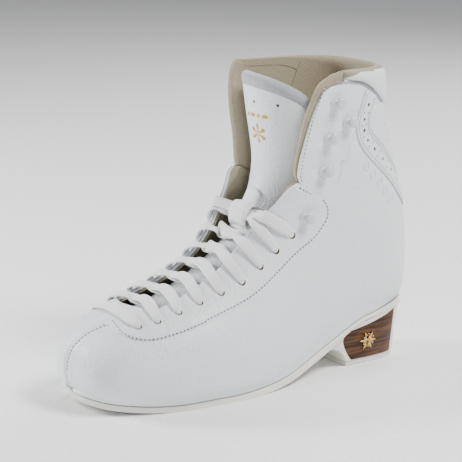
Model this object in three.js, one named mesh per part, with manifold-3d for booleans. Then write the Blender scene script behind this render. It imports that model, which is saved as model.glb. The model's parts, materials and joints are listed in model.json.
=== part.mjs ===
// Left figure skating boot without its blade: leather upper, tongue, lace, hooks, sole and heel.
// Millimetres, +Z up, toe towards -Y, outer (lateral) side towards +X, standing on z = 0.
import * as THREE from 'three';
import { mergeVertices } from 'three/addons/utils/BufferGeometryUtils.js';
import Module from 'manifold-3d';

const wasm = await Module();
wasm.setup();

// ---------------------------------------------------------------- driving dimensions
const BOOT_LENGTH = 1.0; // scale of every lengthwise place of the last
const SHAFT_HEIGHT = 1.0; // scale of every height above the ankle bend
const BEND_HEIGHT = 120; // where the shaft starts
const GAP = 0.3; // between pieces that touch
const CEMENT = 0.5; // glue line between layers of leather
const LEATHER = 2.0; // quarter leather
const FACING = 1.4; // stitched lace facing on top of the quarter
const PADDING = 2.6; // room for foam, toe puff and heel counter between leather and lining
const LINING = 1.3; // microfibre lining
const SOLE = 4.5; // sole thickness on the centre line
const WELT = 1.2; // how far the sole stands out from the feather line
const EYELET_BORE = 6.0;
const LACE = 2.4; // thickness of the lace, gathered where it runs through an eyelet
const FOLD_GAP = 1.2; // slit between an ankle flap and the quarter behind it
const TONGUE_LEATHER = 2.2;
const TONGUE_FELT = 3.2;
const HOOK_HEAD = 4.2; // radius of a speed hook's head
const HOOK_NECK = 1.5; // radius of its shank
const HOOK_FOOT = 3.2; // radius of the washer it stands on
const HEEL_FRONT = 71; // heel breast on the floor
const HEEL_BACK = 125; // back of the heel on the floor
const HEEL_HALF_WIDTH = 27;
const HEEL_FLARE = 4.5; // the heel is this much wider at its top on each side
const HEEL_HEIGHT = 35;
const TOP_PIECE = 3.2; // rubber lift under the heel
const INLAY = 1.6; // thickness of the wood-look inlays
const BADGE = 15; // height of the ornament on the inlay
const CENTRE = [1.45, 1.15]; // the middle of the whole boot on the floor, measured from the last's own origin

// Sections of the last from the toe tip to the cuff. Each one lies in the plane through its top
// and bottom centre points (parallel to X) and is a superellipse in that plane.
// centre x, top y, top z, bottom y, bottom z, lateral and medial half width,
// depth of the widest place (share), upper and lower squareness, leather ahead of the tongue.
const SECTIONS = [
  [-6.0, -129.5, 15.0, -129.0, 13.0, 3.0, 3.0, 0.55, 2.0, 2.0, 0],
  [-6.0, -131.5, 27.0, -125.5, 11.0, 21.0, 15.0, 0.6, 2.1, 3.5, 0],
  [-5.5, -128.5, 40.5, -115.5, 8.5, 34.0, 24.5, 0.62, 2.1, 5.5, 0],
  [-5.0, -116.0, 52.0, -98.0, 6.2, 43.0, 32.5, 0.62, 2.1, 7.5, 0],
  [-4.5, -96.0, 60.0, -78.0, 4.8, 49.5, 38.0, 0.62, 2.1, 8.0, 0],
  [-2.5, -74.0, 67.0, -52.0, 4.8, 51.5, 41.5, 0.61, 2.1, 8.0, 0],
  [-1.0, -52.0, 76.0, -24.0, 4.8, 51.0, 40.5, 0.6, 2.0, 8.0, 0],
  [0.0, -31.0, 88.0, 10.0, 7.5, 46.5, 37.0, 0.57, 2.1, 6.5, 1],
  [0.0, -12.0, 100.0, 46.0, 18.5, 40.0, 35.0, 0.55, 2.4, 5.5, 6.5],
  [0.0, 1.0, 112.0, 84.0, 32.0, 37.0, 35.0, 0.52, 2.9, 4.8, 11],
  [0.0, 9.0, 124.0, 121.0, 38.5, 36.5, 36.0, 0.48, 3.5, 3.8, 14],
  [0.0, 13.0, 136.0, 133.0, 66.0, 37.5, 37.5, 0.46, 4.0, 2.6, 15],
  [0.0, 14.0, 148.0, 131.5, 96.0, 38.0, 38.0, 0.46, 4.2, 2.4, 15],
  [0.0, 12.5, 160.0, 122.0, 126.0, 38.5, 38.5, 0.47, 4.2, 2.4, 14],
  [0.0, 10.0, 174.0, 111.0, 157.0, 39.0, 39.5, 0.48, 4.2, 2.4, 13],
  [0.0, 7.5, 191.0, 105.5, 185.0, 40.0, 40.5, 0.48, 4.2, 2.5, 12],
  [0.0, 5.0, 212.0, 103.0, 212.0, 41.0, 41.5, 0.48, 4.2, 2.6, 11],
];
const CUFF = SECTIONS.length - 1;
const RIM = 15.66; // station of the top rim
const NOTCH = 11.15; // station of the flex notch between facing and flap
const HINGE = 10.25; // station where the tongue bends

// Outlines on the last: [station, angle] with the angle in half turns, 0 at the top centre line,
// 1 at the bottom or back centre line.
const THROAT = [[4.25, 0.02], [4.4, 0.09], [4.7, 0.132], [5.4, 0.134], [6.6, 0.138], [7.6, 0.142],
  [8.3, 0.158], [9.0, 0.19], [9.8, 0.235], [10.6, 0.285], [NOTCH, 0.34]];
const FACING_EDGE = [[3.26, 0.15], [3.42, 0.218], [3.64, 0.26], [3.95, 0.284], [4.4, 0.3], [5.2, 0.305],
  [6.06, 0.311], [6.9, 0.338], [7.8, 0.376], [8.5, 0.405], [9.3, 0.441], [10.0, 0.46],
  [10.6, 0.474], [10.95, 0.468], [11.08, 0.446]];
const FLAP_EDGE_LATERAL = [[NOTCH, 0.352], [11.54, 0.336], [12.76, 0.364], [14.14, 0.422],
  [14.82, 0.454], [15.16, 0.47], [15.4, 0.486], [RIM, 0.512]];
const FLAP_EDGE_MEDIAL = [[NOTCH, 0.348], [11.54, 0.336], [12.76, 0.345], [14.14, 0.36],
  [14.82, 0.374], [15.16, 0.388], [15.4, 0.402], [RIM, 0.43]];
const FOLD_LOW = [36, 122]; // y and z of the lower end of the line the ankle flaps fold on
const FOLD_HIGH = [71, 204];
const FEATHER = 0.79; // angle where the upper turns in over the sole
const HEEL_SEAT = [9.9, 10.35]; // stations between which that edge runs up to the back seam
const MARGIN = 0.15; // angle the lasted margin turns in under the foot
const EYELETS = [[3.88, 0.186], [4.42, 0.2], [5.06, 0.202], [5.72, 0.208], [6.36, 0.228],
  [6.98, 0.258], [7.64, 0.287], [8.32, 0.319], [9.08, 0.36]];
const HOOKS = [[9.98, 0.386], [12.24, 0.458], [13.64, 0.484], [14.26, 0.514], [14.84, 0.498]];
const BAND_OUTER = [[15.2, 0.602], [14.34, 0.552], [13.7, 0.55], [13.24, 0.59], [12.75, 0.69],
  [12.3, 0.8], [12.1, 1]];
const BAND_INNER = [[15.0, 0.672], [14.4, 0.618], [14.0, 0.622], [13.68, 0.682], [13.34, 0.75],
  [13.1, 0.85], [13.0, 1]];
const COLLAR_SEAM = [[0.52, 15.44], [0.578, 15.38], [0.65, 15.18], [0.742, 14.86], [0.86, 14.6], [1, 14.5]];
const TONGUE_HALF = [[3.7, 13], [4.4, 19], [5, 22], [6, 24], [8, 25], [9, 25.5], [11, 28.5], [13, 30],
  [16, 31]];
const TONGUE_DEPTH = [[3.7, 6], [4.1, 6.3], [4.7, 8.9], [6.5, 8.8], [7.5, 7.3], [8.5, 3.4], [9.5, 0.5],
  [16, 0]];

const WHITE = { color: 0xf1f1ef, roughness: 0.5, metalness: 0 };
const CREAM = { color: 0xd9d0b6, roughness: 0.85, metalness: 0 };
const FELT = { color: 0xa9a9a4, roughness: 0.95, metalness: 0 };
const LACE_WHITE = { color: 0xf4f4f4, roughness: 0.8, metalness: 0 };
const SOLE_WHITE = { color: 0xece9df, roughness: 0.45, metalness: 0 };
const WOOD = { color: 0x5b3a24, roughness: 0.45, metalness: 0 };
const GOLD = { color: 0xc9a24a, roughness: 0.25, metalness: 1 };
const STEEL = { color: 0x9a9c9f, roughness: 0.35, metalness: 1 };
const BOARD = { color: 0x8a6a48, roughness: 0.9, metalness: 0 };
const ENAMEL = { color: 0xf6f6f4, roughness: 0.25, metalness: 0 };

const boot = new THREE.Group();

// ---------------------------------------------------------------- curves
function hermite(before, from, to, after, share) {
  const square = share * share;
  return 0.5 * (2 * from + (to - before) * share + (2 * before - 5 * from + 4 * to - after) * square
    + (3 * from - 3 * to + after - before) * square * share);
}

// A smooth function through [x, y] points; flat outside them.
function through(points) {
  const last = points.length - 1;
  const slope = (j) => {
    const [a, b] = [points[Math.max(j - 1, 0)], points[Math.min(j + 1, last)]];
    return (b[1] - a[1]) / (b[0] - a[0]);
  };
  return (x) => {
    if (x <= points[0][0]) return points[0][1];
    if (x >= points[last][0]) return points[last][1];
    const i = points.findIndex((p) => p[0] > x) - 1;
    const width = points[i + 1][0] - points[i][0];
    const s = (x - points[i][0]) / width;
    const s2 = s * s;
    const s3 = s2 * s;
    return points[i][1] * (2 * s3 - 3 * s2 + 1) + slope(i) * width * (s3 - 2 * s2 + s)
      + points[i + 1][1] * (3 * s2 - 2 * s3) + slope(i + 1) * width * (s3 - s2);
  };
}

const mix = (a, b, t) => a + (b - a) * t;
const smooth = (x) => {
  const t = Math.min(Math.max(x, 0), 1);
  return t * t * (3 - 2 * t);
};
const spread = (start, end, count) => Array.from({ length: count + 1 }, (_, i) => mix(start, end, i / count));
const throat = through(THROAT);
const facingEdge = through(FACING_EDGE);
const collarSeam = through(COLLAR_SEAM);
const tongueHalf = through(TONGUE_HALF);
const tongueDepth = through(TONGUE_DEPTH);
const flapEdge = { 1: through(FLAP_EDGE_LATERAL), [-1]: through(FLAP_EDGE_MEDIAL) };
const feather = (v) => mix(FEATHER, 1, smooth((v - HEEL_SEAT[0]) / (HEEL_SEAT[1] - HEEL_SEAT[0])));

// ---------------------------------------------------------------- the last
function place(y, z) {
  const tall = z > BEND_HEIGHT ? BEND_HEIGHT + (z - BEND_HEIGHT) * SHAFT_HEIGHT : z;
  return [(y - CENTRE[1]) * BOOT_LENGTH, tall];
}

function section(station) {
  const v = Math.min(Math.max(station, 0), CUFF);
  const i = Math.min(Math.floor(v), CUFF - 1);
  const rows = [SECTIONS[Math.max(i - 1, 0)], SECTIONS[i], SECTIONS[i + 1], SECTIONS[Math.min(i + 2, CUFF)]];
  const value = rows[1].map((_, k) => hermite(rows[0][k], rows[1][k], rows[2][k], rows[3][k], v - i));
  const [middle, ty, tz, by, bz, lateral, medial, waist, upper, lower, ahead] = value;
  const top = new THREE.Vector3(middle - CENTRE[0], ...place(ty, tz));
  const bottom = new THREE.Vector3(middle - CENTRE[0], ...place(by, bz));
  return { top, bottom, depth: top.distanceTo(bottom), lateral, medial, waist, upper, lower, ahead };
}

// A point on the outside of the leather.
function skinPoint(v, angle) {
  const turned = Math.abs(angle) > 1 ? angle - 2 * Math.sign(angle) : angle;
  const s = section(v);
  const turn = Math.abs(turned) * Math.PI;
  const power = 2 / (Math.cos(turn) >= 0 ? s.upper : s.lower);
  const reach = Math.abs(Math.cos(turn)) ** power;
  const share = Math.cos(turn) >= 0 ? s.waist - s.waist * reach : s.waist + (1 - s.waist) * reach;
  const top = s.top.clone().lerp(s.bottom, -s.ahead / s.depth);
  const point = top.lerp(s.bottom, share);
  point.x += (turned >= 0 ? s.lateral : -s.medial) * Math.max(Math.sin(turn), 0) ** power;
  return point;
}

function outward(v, angle) {
  const along = skinPoint(v + 0.03, angle).sub(skinPoint(v - 0.03, angle));
  return skinPoint(v, angle + 0.006).sub(skinPoint(v, angle - 0.006)).cross(along).normalize();
}

// The same point moved out along the surface normal.
const skin = (v, angle, out = 0) => skinPoint(v, angle).addScaledVector(outward(v, angle), out);

// A point on the tongue, across from -1 to 1.
function tonguePoint(v, across, out = 0) {
  const s = section(v);
  const half = tongueHalf(v) * across;
  const share = Math.min(Math.abs(half) / (Math.min(s.lateral, s.medial) - 5.5), 0.97);
  const drop = tongueDepth(v) - out + s.waist * s.depth * (1 - (1 - share ** 2.2) ** (1 / 2.2));
  const point = s.top.clone().lerp(s.bottom, drop / s.depth);
  point.x += half;
  return point;
}

// The angle where the skin meets the plane the ankle flaps fold on.
const foldLow = place(...FOLD_LOW);
const foldHigh = place(...FOLD_HIGH);
function fold(v) {
  const [run, rise] = [foldHigh[0] - foldLow[0], foldHigh[1] - foldLow[1]];
  const before = (p) => (p.y - foldLow[0]) * rise < (p.z - foldLow[1]) * run;
  let [low, high] = [0.3, 0.9];
  for (let i = 0; i < 24; i += 1) {
    const angle = (low + high) / 2;
    if (before(skinPoint(v, angle))) low = angle;
    else high = angle;
  }
  return low;
}

// ---------------------------------------------------------------- solids
function volumeOf(points, faces) {
  let sum = 0;
  for (let i = 0; i < faces.length; i += 3) {
    const [a, b, c] = [0, 1, 2].map((k) => new THREE.Vector3().fromArray(points, 3 * faces[i + k]));
    sum += a.dot(b.cross(c));
  }
  return sum;
}

// A closed sheet between two faces given over a grid of stations and shares across.
function slab(stations, across, outer, inner) {
  const points = [];
  const faces = [];
  const shares = Array.isArray(across) ? across : spread(0, 1, across);
  const columns = shares.length - 1;
  const rows = stations.length - 1;
  const size = (rows + 1) * (columns + 1);
  for (const face of [outer, inner]) {
    for (const v of stations) {
      for (const share of shares) points.push(...face(v, share).toArray());
    }
  }
  const at = (i, j) => i * (columns + 1) + j;
  const quad = (a, b, c, d) => faces.push(a, b, c, a, c, d);
  for (let i = 0; i < rows; i += 1) {
    for (let j = 0; j < columns; j += 1) {
      const [a, b, c, d] = [at(i, j), at(i + 1, j), at(i + 1, j + 1), at(i, j + 1)];
      quad(a, b, c, d);
      quad(a + size, d + size, c + size, b + size);
    }
    quad(at(i, 0), at(i, 0) + size, at(i + 1, 0) + size, at(i + 1, 0));
    quad(at(i + 1, columns), at(i + 1, columns) + size, at(i, columns) + size, at(i, columns));
  }
  for (let j = 0; j < columns; j += 1) {
    quad(at(0, j + 1), at(0, j + 1) + size, at(0, j) + size, at(0, j));
    quad(at(rows, j), at(rows, j) + size, at(rows, j + 1) + size, at(rows, j + 1));
  }
  if (volumeOf(points, faces) < 0) faces.reverse();
  const geometry = new THREE.BufferGeometry();
  geometry.setAttribute('position', new THREE.Float32BufferAttribute(points, 3));
  geometry.setIndex(faces);
  return geometry;
}

function toManifold(geometry) {
  const bare = geometry.clone();
  bare.deleteAttribute('normal');
  bare.deleteAttribute('uv');
  const merged = mergeVertices(bare, 1e-3);
  const vertProperties = new Float32Array(merged.attributes.position.array);
  const triVerts = new Uint32Array(merged.index.array);
  return new wasm.Manifold(new wasm.Mesh({ numProp: 3, vertProperties, triVerts }));
}

function toGeometry(solid) {
  const mesh = solid.getMesh();
  const geometry = new THREE.BufferGeometry();
  geometry.setAttribute('position', new THREE.BufferAttribute(new Float32Array(mesh.vertProperties), 3));
  geometry.setIndex(new THREE.BufferAttribute(new Uint32Array(mesh.triVerts), 1));
  return geometry;
}

function cut(geometry, cutters) {
  return toGeometry(cutters.map(toManifold).reduce((a, b) => a.subtract(b), toManifold(geometry)));
}

function common(...geometries) {
  return toGeometry(geometries.map(toManifold).reduce((a, b) => a.intersect(b)));
}

function join(...geometries) {
  return toGeometry(geometries.map(toManifold).reduce((a, b) => a.add(b)));
}

function add(name, geometry, material, matrix) {
  geometry.computeVertexNormals();
  const mesh = new THREE.Mesh(geometry, new THREE.MeshStandardMaterial(material));
  mesh.name = name;
  if (matrix) mesh.applyMatrix4(matrix);
  boot.add(mesh);
}

// Moves an angle by a distance along the surface.
function shifted(v, angle, distance) {
  const arc = skinPoint(v, angle + 0.01).distanceTo(skinPoint(v, angle)) / 0.01;
  return angle + distance / Math.max(arc, 20);
}

// Where something stands on the leather: its Z axis along the surface normal.
function seat(v, angle, out) {
  const normal = outward(v, angle);
  const up = skinPoint(v + 0.1, angle).sub(skinPoint(v, angle)).normalize();
  const side = up.cross(normal).normalize();
  const matrix = new THREE.Matrix4().makeBasis(side, normal.clone().cross(side), normal);
  return matrix.setPosition(skin(v, angle, out));
}

function bore(v, angle, radius) {
  const hole = new THREE.CylinderGeometry(radius, radius, 22, 7);
  return hole.rotateX(Math.PI / 2).applyMatrix4(seat(v, angle, 0));
}

// ---------------------------------------------------------------- upper
const SIDES = [['lateral', 1], ['medial', -1]];
const eyeletBores = (side, wider) => EYELETS.map(([v, a]) => bore(v, side * a, EYELET_BORE / 2 + wider));
const hookBores = (side, list) => list.map(([v, a]) => bore(v, side * a, HOOK_NECK + GAP));

function centreGap(v) {
  const here = section(v);
  return Math.asin((GAP / 2 / Math.min(here.lateral, here.medial)) ** (here.upper / 2)) / Math.PI;
}
const backEdge = (v) => 1.9 - shifted(v, 0.9, GAP / 2);
const throatEdge = (v) => (v < THROAT[0][0] ? centreGap(v) : Math.max(throat(v), centreGap(v)));
const foldBehind = (v) => shifted(v, fold(v), FOLD_GAP / 2);
const foldAhead = (v) => shifted(v, fold(v), -FOLD_GAP / 2);
const lastedEdge = (v) => Math.min(feather(v) + MARGIN, backEdge(v));

// The padding lies under the toe and round the heel and ankle, and fades out towards the throat.
function padded(v, angle) {
  const heel = smooth((v - 8.6 + 4 * (Math.abs(angle) - 0.5)) / 1.2);
  return Math.max(heel, smooth((3.7 - v) / 0.5));
}
const liningOut = (v, angle) => -(LEATHER + 3 * GAP + (PADDING + GAP) * padded(v, angle));
const liningIn = (v, angle) => liningOut(v, angle) - LINING;
const padOut = -(LEATHER + 3 * GAP);
const padIn = -(LEATHER + PADDING);
const wall = LEATHER + PADDING + LINING + 4 * GAP;

// A layer of the upper over some stations between two angles that depend on the station.
function layer(side, stations, columns, [lo, hi], outer, inner, top) {
  const depth = (out, v, angle) => (typeof out === 'function' ? out(v, angle) : out);
  const start = stations[0];
  const end = stations[stations.length - 1];
  const face = (out) => (v, t) => {
    const angle = mix(lo(v), hi(v), t);
    const raised = top ? mix(start, top(angle), (v - start) / (end - start)) : v;
    return skin(raised, side * angle, depth(out, raised, angle));
  };
  return slab(stations, columns, face(outer), face(inner));
}

const TOE_ROWS = [0, 0.3, 0.65, 1.05, 1.5, 2, 2.5, 3];
const THROAT_ROWS = [3.26, 3.5, 3.8, 4.25, 4.4, 4.6, 4.9, 5.4, 6, 6.6, 7.2, 7.8, 8.3, 8.8, 9.3, 9.75, 10.15,
  10.6];
const LOW_END = NOTCH - 0.03;
const SHAFT_ROWS = [NOTCH - 0.2, 11.5, 12, 12.6, 13.2, 13.8, 14.4, 15, 15.44];
const LOW_SHARES = [0, 0.11, 0.22, 0.34, 0.46, 0.58, 0.69, 0.76, 0.81, 0.86, 0.92, 1];
const SHAFT_SHARES = [0, 0.16, 0.32, 0.47, 0.61, 0.75, 0.88, 1];
const LINING_SHARES = [0, 0.17, 0.35, 0.53, 0.7, 0.83, 0.92, 1];
const LINING_ROWS = [1.2, 1.9, 2.6, 3.3, 3.8, 4.25, 4.4, 4.6, 4.9, 5.4, 6, 6.6, 7.2, 7.8, 8.4, 9, 9.6, 10.1,
  10.6];
const liningHigh = (v) => Math.min(feather(v) + 0.04, backEdge(v));
const lowRange = [throatEdge, lastedEdge];
const shaftRange = [foldBehind, backEdge];

for (const [name, side] of SIDES) {
  const lowRows = [...TOE_ROWS, ...THROAT_ROWS, LOW_END];
  const vamp = layer(side, lowRows, LOW_SHARES, lowRange, 0, -LEATHER);
  const shaft = layer(side, SHAFT_ROWS, SHAFT_SHARES, shaftRange, 0, -LEATHER, collarSeam);
  const holes = [...eyeletBores(side, 0), ...hookBores(side, HOOKS.slice(0, 1))];
  add(`quarter_${name}`, cut(join(vamp, shaft), holes), WHITE);

  const facing = layer(side, [...THROAT_ROWS, 11.08], 3, [throatEdge, facingEdge], CEMENT + GAP + FACING, CEMENT + GAP);
  add(`facing_${name}`, cut(facing, holes), WHITE);

  const liningRange = [throatEdge, liningHigh];
  const low = layer(side, [...LINING_ROWS, LOW_END], LINING_SHARES, liningRange, liningOut, liningIn);
  const high = layer(side, SHAFT_ROWS, SHAFT_SHARES, shaftRange, liningOut, liningIn, collarSeam);
  add(`lining_${name}`, cut(join(low, high), eyeletBores(side, 2)), CREAM);

  const flapRows = [NOTCH, ...SHAFT_ROWS.slice(1, -1), 15.3, RIM];
  const flapRange = [flapEdge[side], foldAhead];
  const flap = layer(side, flapRows, 4, flapRange, 0, -LEATHER);
  add(`ankle_flap_${name}`, cut(flap, hookBores(side, HOOKS.slice(1))), WHITE);
  const backing = -(LEATHER + GAP);
  add(`flap_lining_${name}`, layer(side, flapRows, 4, flapRange, backing, backing - LINING), CREAM);
  const foamRange = [() => 0.65, () => 0.85];
  add(`ankle_foam_${name}`, layer(side, spread(12.7, 14.2, 4), 4, foamRange, padOut, padIn), FELT);
}

// Across the toe and round the heel the stiffeners run from one side to the other.
const across = (from, to, out) => (v, t) => skin(v, mix(from, to, t), out);
const stiffener = (stations, columns, from, to) => slab(stations, columns, across(from, to, padOut),
  across(from, to, padIn));
add('toe_puff', stiffener(spread(0.8, 3, 5), 12, -0.6, 0.6), BOARD);
add('heel_counter', stiffener(spread(10.5, 12.3, 4), 16, 0.64, 1.36), BOARD);

// The collar pad runs round the back over the top of the quarters, from fold to fold.
const collarStart = foldBehind(RIM) + 0.004;
const collar = (out) => (s, t) => {
  const angle = mix(collarStart, 2 - collarStart, t);
  return skin(mix(collarSeam(angle > 1 ? 2 - angle : angle) + 0.04, RIM, s), angle, out);
};
add('collar_pad', slab([0, 0.5, 1], 20, collar(1), collar(-wall)), WHITE);

// The backstay band is a U round the back, with the Achilles panel inside it.
function mirrored(points) {
  const half = new THREE.SplineCurve(points.map(([v, a]) => new THREE.Vector2(v, a)));
  return (t) => {
    const p = half.getPoint(Math.min(t, 1 - t) * 2);
    return [p.x, t <= 0.5 ? p.y : 2 - p.y];
  };
}
const bandOuter = mirrored(BAND_OUTER);
const bandInner = mirrored(BAND_INNER);
const band = (out) => (s, t) => {
  const [v0, a0] = bandOuter(s);
  const [v1, a1] = bandInner(s);
  return skin(mix(v0, v1, t), mix(a0, a1, t), out);
};
add('backstay_band', slab(spread(0, 1, 28), 3, band(CEMENT + 1.2), band(CEMENT + GAP)), WHITE);
const panel = (out) => (s, t) => {
  const [v, a] = bandInner(s);
  const angle = shifted(v, a, 1.6);
  const folded = mix(angle, 2 - angle, t);
  const seam = collarSeam(folded > 1 ? 2 - folded : folded);
  return skin(Math.min(v + 0.1, seam - 0.06), folded, out);
};
add('achilles_panel', slab(spread(0.04, 0.49, 8), 10, panel(CEMENT + 0.9), panel(CEMENT + 0.1)), WHITE);

// ---------------------------------------------------------------- tongue
const HINGE_GAP = 0.06;
const tongueTop = (share) => RIM - 0.15 - 0.5 * Math.abs(share) ** 4;
function tongueSheet(stations, wide, outer, inner) {
  const end = stations[stations.length - 1];
  const face = (out) => (v, t) => {
    const share = mix(-1, 1, t);
    const rise = (v - stations[0]) / (end - stations[0]);
    const raised = end > HINGE ? mix(stations[0], tongueTop(share), rise) : v;
    return tonguePoint(raised, share * wide, out);
  };
  return slab(stations, 7, face(outer), face(inner));
}
const tongueLow = [3.7, 4.1, 4.5, 5, ...spread(5.8, HINGE - HINGE_GAP / 2, 8)];
const tongueHigh = spread(HINGE + HINGE_GAP / 2, RIM, 8);
const feltOut = -(TONGUE_LEATHER + GAP);
for (const [name, stations] of [['lower', tongueLow], ['upper', tongueHigh]]) {
  add(`tongue_${name}`, tongueSheet(stations, 1, 0, -TONGUE_LEATHER), WHITE);
  add(`tongue_felt_${name}`, tongueSheet(stations, 1, feltOut, feltOut - TONGUE_FELT), FELT);
}

// The keeper is a strap stitched to the tongue, with a loop under it over the top crossing.
const KEEPER_HALF = 6.5;
const keeper = (height) => (v, t) => {
  const round = Math.sqrt(Math.max(1 - (Math.max(0, v - 9.8) / 0.36) ** 2, 0.12));
  return tonguePoint(v, (KEEPER_HALF * round * mix(-1, 1, t)) / tongueHalf(v), height);
};
add('lace_keeper_tab', slab([9.38, 9.6, 9.8, 9.95, 10.08, 10.15], 4, keeper(GAP + 1.4), keeper(GAP)), WHITE);
const LOOP_RISE = 8.6;
const LOOP_HALF = 6.8;
const loop = (thickness) => (s, t) => {
  const arch = Math.sin(Math.PI * Math.min(Math.max(s, 0), 1)) ** 0.6;
  const foot = s <= 0 || s >= 1 ? 1.2 : thickness;
  const height = GAP + LOOP_RISE * arch + (thickness > 0 ? foot : 0);
  return tonguePoint(mix(8.56, 9.34, s), (LOOP_HALF * mix(-1, 1, t)) / tongueHalf(9), height);
};
add('lace_keeper_loop', slab([0, 0.05, 0.15, 0.3, 0.5, 0.7, 0.85, 0.95, 1], 4, loop(1.4), loop(0)), WHITE);

// ---------------------------------------------------------------- lace
const laceOver = CEMENT + GAP + FACING + LACE / 2 + 0.8;
const laceInside = -(LEATHER + LINING + 3 * GAP + 0.4);
const laceUnder = laceInside - LACE / 2 - 0.7;
const CROSS_LIFT = 1.6; // half the height between the two strands where they cross

// From outside one eyelet over the throat to the inside of the next one on the other side.
function crossing(eyelet, side) {
  const [v0, a0] = EYELETS[eyelet];
  const [v1, a1] = EYELETS[eyelet + 1];
  const near = mix(v0, v1, 0.25);
  const far = mix(v0, v1, 0.8);
  const middle = mix(v0, v1, 0.52);
  return [
    skin(v0 + 0.03, side * (a0 - 0.015), laceOver),
    skin(near, side * throat(near), laceOver),
    tonguePoint(middle, 0, 3.8 + side * CROSS_LIFT),
    skin(far, -side * throat(far), laceUnder),
    skin(v1, -side * a1, laceInside - 0.4),
    skin(v1, -side * a1, -LEATHER),
    skin(v1, -side * a1, 0.6),
  ];
}

function laceHalf(side) {
  const [v0, a0] = EYELETS[0];
  const [v1, a1] = EYELETS[1];
  const points = [
    skin(v0, side * (a0 - 0.05), laceOver + 0.3),
    skin(v0, side * (a0 - 0.013), laceOver),
    skin(v0, side * a0, 0.6),
    skin(v0, side * a0, -LEATHER),
    skin(v0, side * a0, laceInside),
    skin(mix(v0, v1, 0.5), side * mix(a0, a1, 0.5), laceUnder),
    skin(v1, side * a1, laceInside),
    skin(v1, side * a1, -LEATHER),
    skin(v1, side * a1, 0.6),
  ];
  const last = EYELETS.length - 2;
  let from = side;
  for (let eyelet = 1; eyelet < last; eyelet += 1) {
    points.push(...crossing(eyelet, from));
    from = -from;
  }
  const [v8, a8] = EYELETS[last];
  const [v9, a9] = EYELETS[last + 1];
  points.push(skin(v8 + 0.03, from * (a8 - 0.015), laceOver));
  points.push(skin(mix(v8, v9, 0.35), from * throat(mix(v8, v9, 0.35)), laceOver));
  points.push(tonguePoint(8.88, 0.4 * from, 4.4 + from * CROSS_LIFT));
  points.push(tonguePoint(8.95, 0, 4 + from * CROSS_LIFT));
  points.push(tonguePoint(9.02, -0.4 * from, 4.4 + from * CROSS_LIFT));
  points.push(skin(mix(v8, v9, 0.85), -from * throat(mix(v8, v9, 0.85)), laceOver + 0.4));
  points.push(skin(v9 - 0.01, -from * (a9 - 0.04), laceOver + 0.4), skin(v9, -from * (a9 - 0.012), laceOver));
  points.push(skin(v9, -from * a9, 0.6), skin(v9, -from * a9, -LEATHER), skin(v9, -from * a9, laceInside));
  points.push(skin(v9 - 0.1, -from * (a9 + 0.05), laceUnder - 0.3));
  points.push(skin(v9 - 0.25, -from * (a9 + 0.13), laceUnder - 0.8));
  return points;
}

const laceMiddle = skin(EYELETS[0][0], 0, laceOver);
const laceRoute = [...laceHalf(1).reverse(), laceMiddle, ...laceHalf(-1)];
const laceCurve = new THREE.CatmullRomCurve3(laceRoute, false, 'centripetal');
const laceRing = new THREE.Shape(spread(0, 5, 5).map((k) => new THREE.Vector2(LACE / 2, 0)
  .rotateAround(new THREE.Vector2(), (k * Math.PI) / 3)));
const laceSteps = Math.round(laceCurve.getLength() / 5.5);
const laceTube = { extrudePath: laceCurve, steps: laceSteps, bevelEnabled: false };
add('lace', new THREE.ExtrudeGeometry(laceRing, laceTube), LACE_WHITE);
const AGLET = 14; // length of the plastic tip on each lace end
for (const [name, at, inside] of [['aglet_lateral', 0, 0.004], ['aglet_medial', 1, 0.996]]) {
  const tip = laceCurve.getPointAt(at);
  const out = tip.clone().sub(laceCurve.getPointAt(inside)).normalize();
  const turn = new THREE.Quaternion().setFromUnitVectors(new THREE.Vector3(0, 1, 0), out);
  const matrix = new THREE.Matrix4().makeRotationFromQuaternion(turn);
  matrix.setPosition(tip.addScaledVector(out, AGLET / 2 + GAP));
  add(name, new THREE.CylinderGeometry(LACE / 2, LACE / 2, AGLET, 8), LACE_WHITE, matrix);
}

// ---------------------------------------------------------------- speed hooks
// A turned button: shank through the leather, washer, waist for the lace and a domed head.
function hookProfile(sunk) {
  return [[0, -sunk], [HOOK_NECK, -sunk], [HOOK_NECK, GAP], [HOOK_FOOT, GAP], [HOOK_FOOT, GAP + 0.8],
    [HOOK_NECK + 0.4, GAP + 1.2], [HOOK_NECK + 0.4, 3.8], [HOOK_HEAD - 0.3, 4.3], [HOOK_HEAD, 5],
    [HOOK_HEAD - 1, 6.2], [0, 6.8]].map(([r, z]) => new THREE.Vector2(r, z));
}
for (const [name, side] of SIDES) {
  HOOKS.forEach(([v, angle], i) => {
    const raised = i === 0 ? CEMENT + GAP + FACING : 0;
    const turned = new THREE.LatheGeometry(hookProfile(LEATHER + raised), 8).rotateX(Math.PI / 2);
    add(`hook_${name}_${i + 1}`, turned, ENAMEL, seat(v, side * angle, raised));
  });
}

// ---------------------------------------------------------------- sole
const soleEnd = mix(...HEEL_SEAT, 0.72);
function soleTop(v, t) {
  const edge = feather(v);
  const angle = mix(edge, 2 - edge, t);
  const out = outward(v, angle).setZ(0).normalize();
  const rim = Math.max(Math.abs(2 * t - 1) ** 8, 1 - v / 0.25, 1 - (soleEnd - v) / 0.08);
  return skin(v, angle, CEMENT + 0.2).addScaledVector(out, rim * WELT);
}
function soleFloor(v, t, drop = 0) {
  const point = soleTop(v, t);
  const flat = section(v).bottom.z - SOLE - CEMENT;
  const height = mix(flat, point.z - SOLE, smooth((v - 7.8) / 1.2));
  point.z = Math.max(0, Math.min(height, point.z - 1.5)) - drop;
  return point;
}
const HEEL_ROWS = [8.1, 8.6, 9, 9.4, 9.7, 9.9, 10.05, 10.15, soleEnd];
const soleRows = [...TOE_ROWS, 3.6, 4.3, 5, 5.8, 6.5, 7.1, 7.6, ...HEEL_ROWS];
add('outsole', slab(soleRows, 12, soleTop, soleFloor), SOLE_WHITE);

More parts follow.
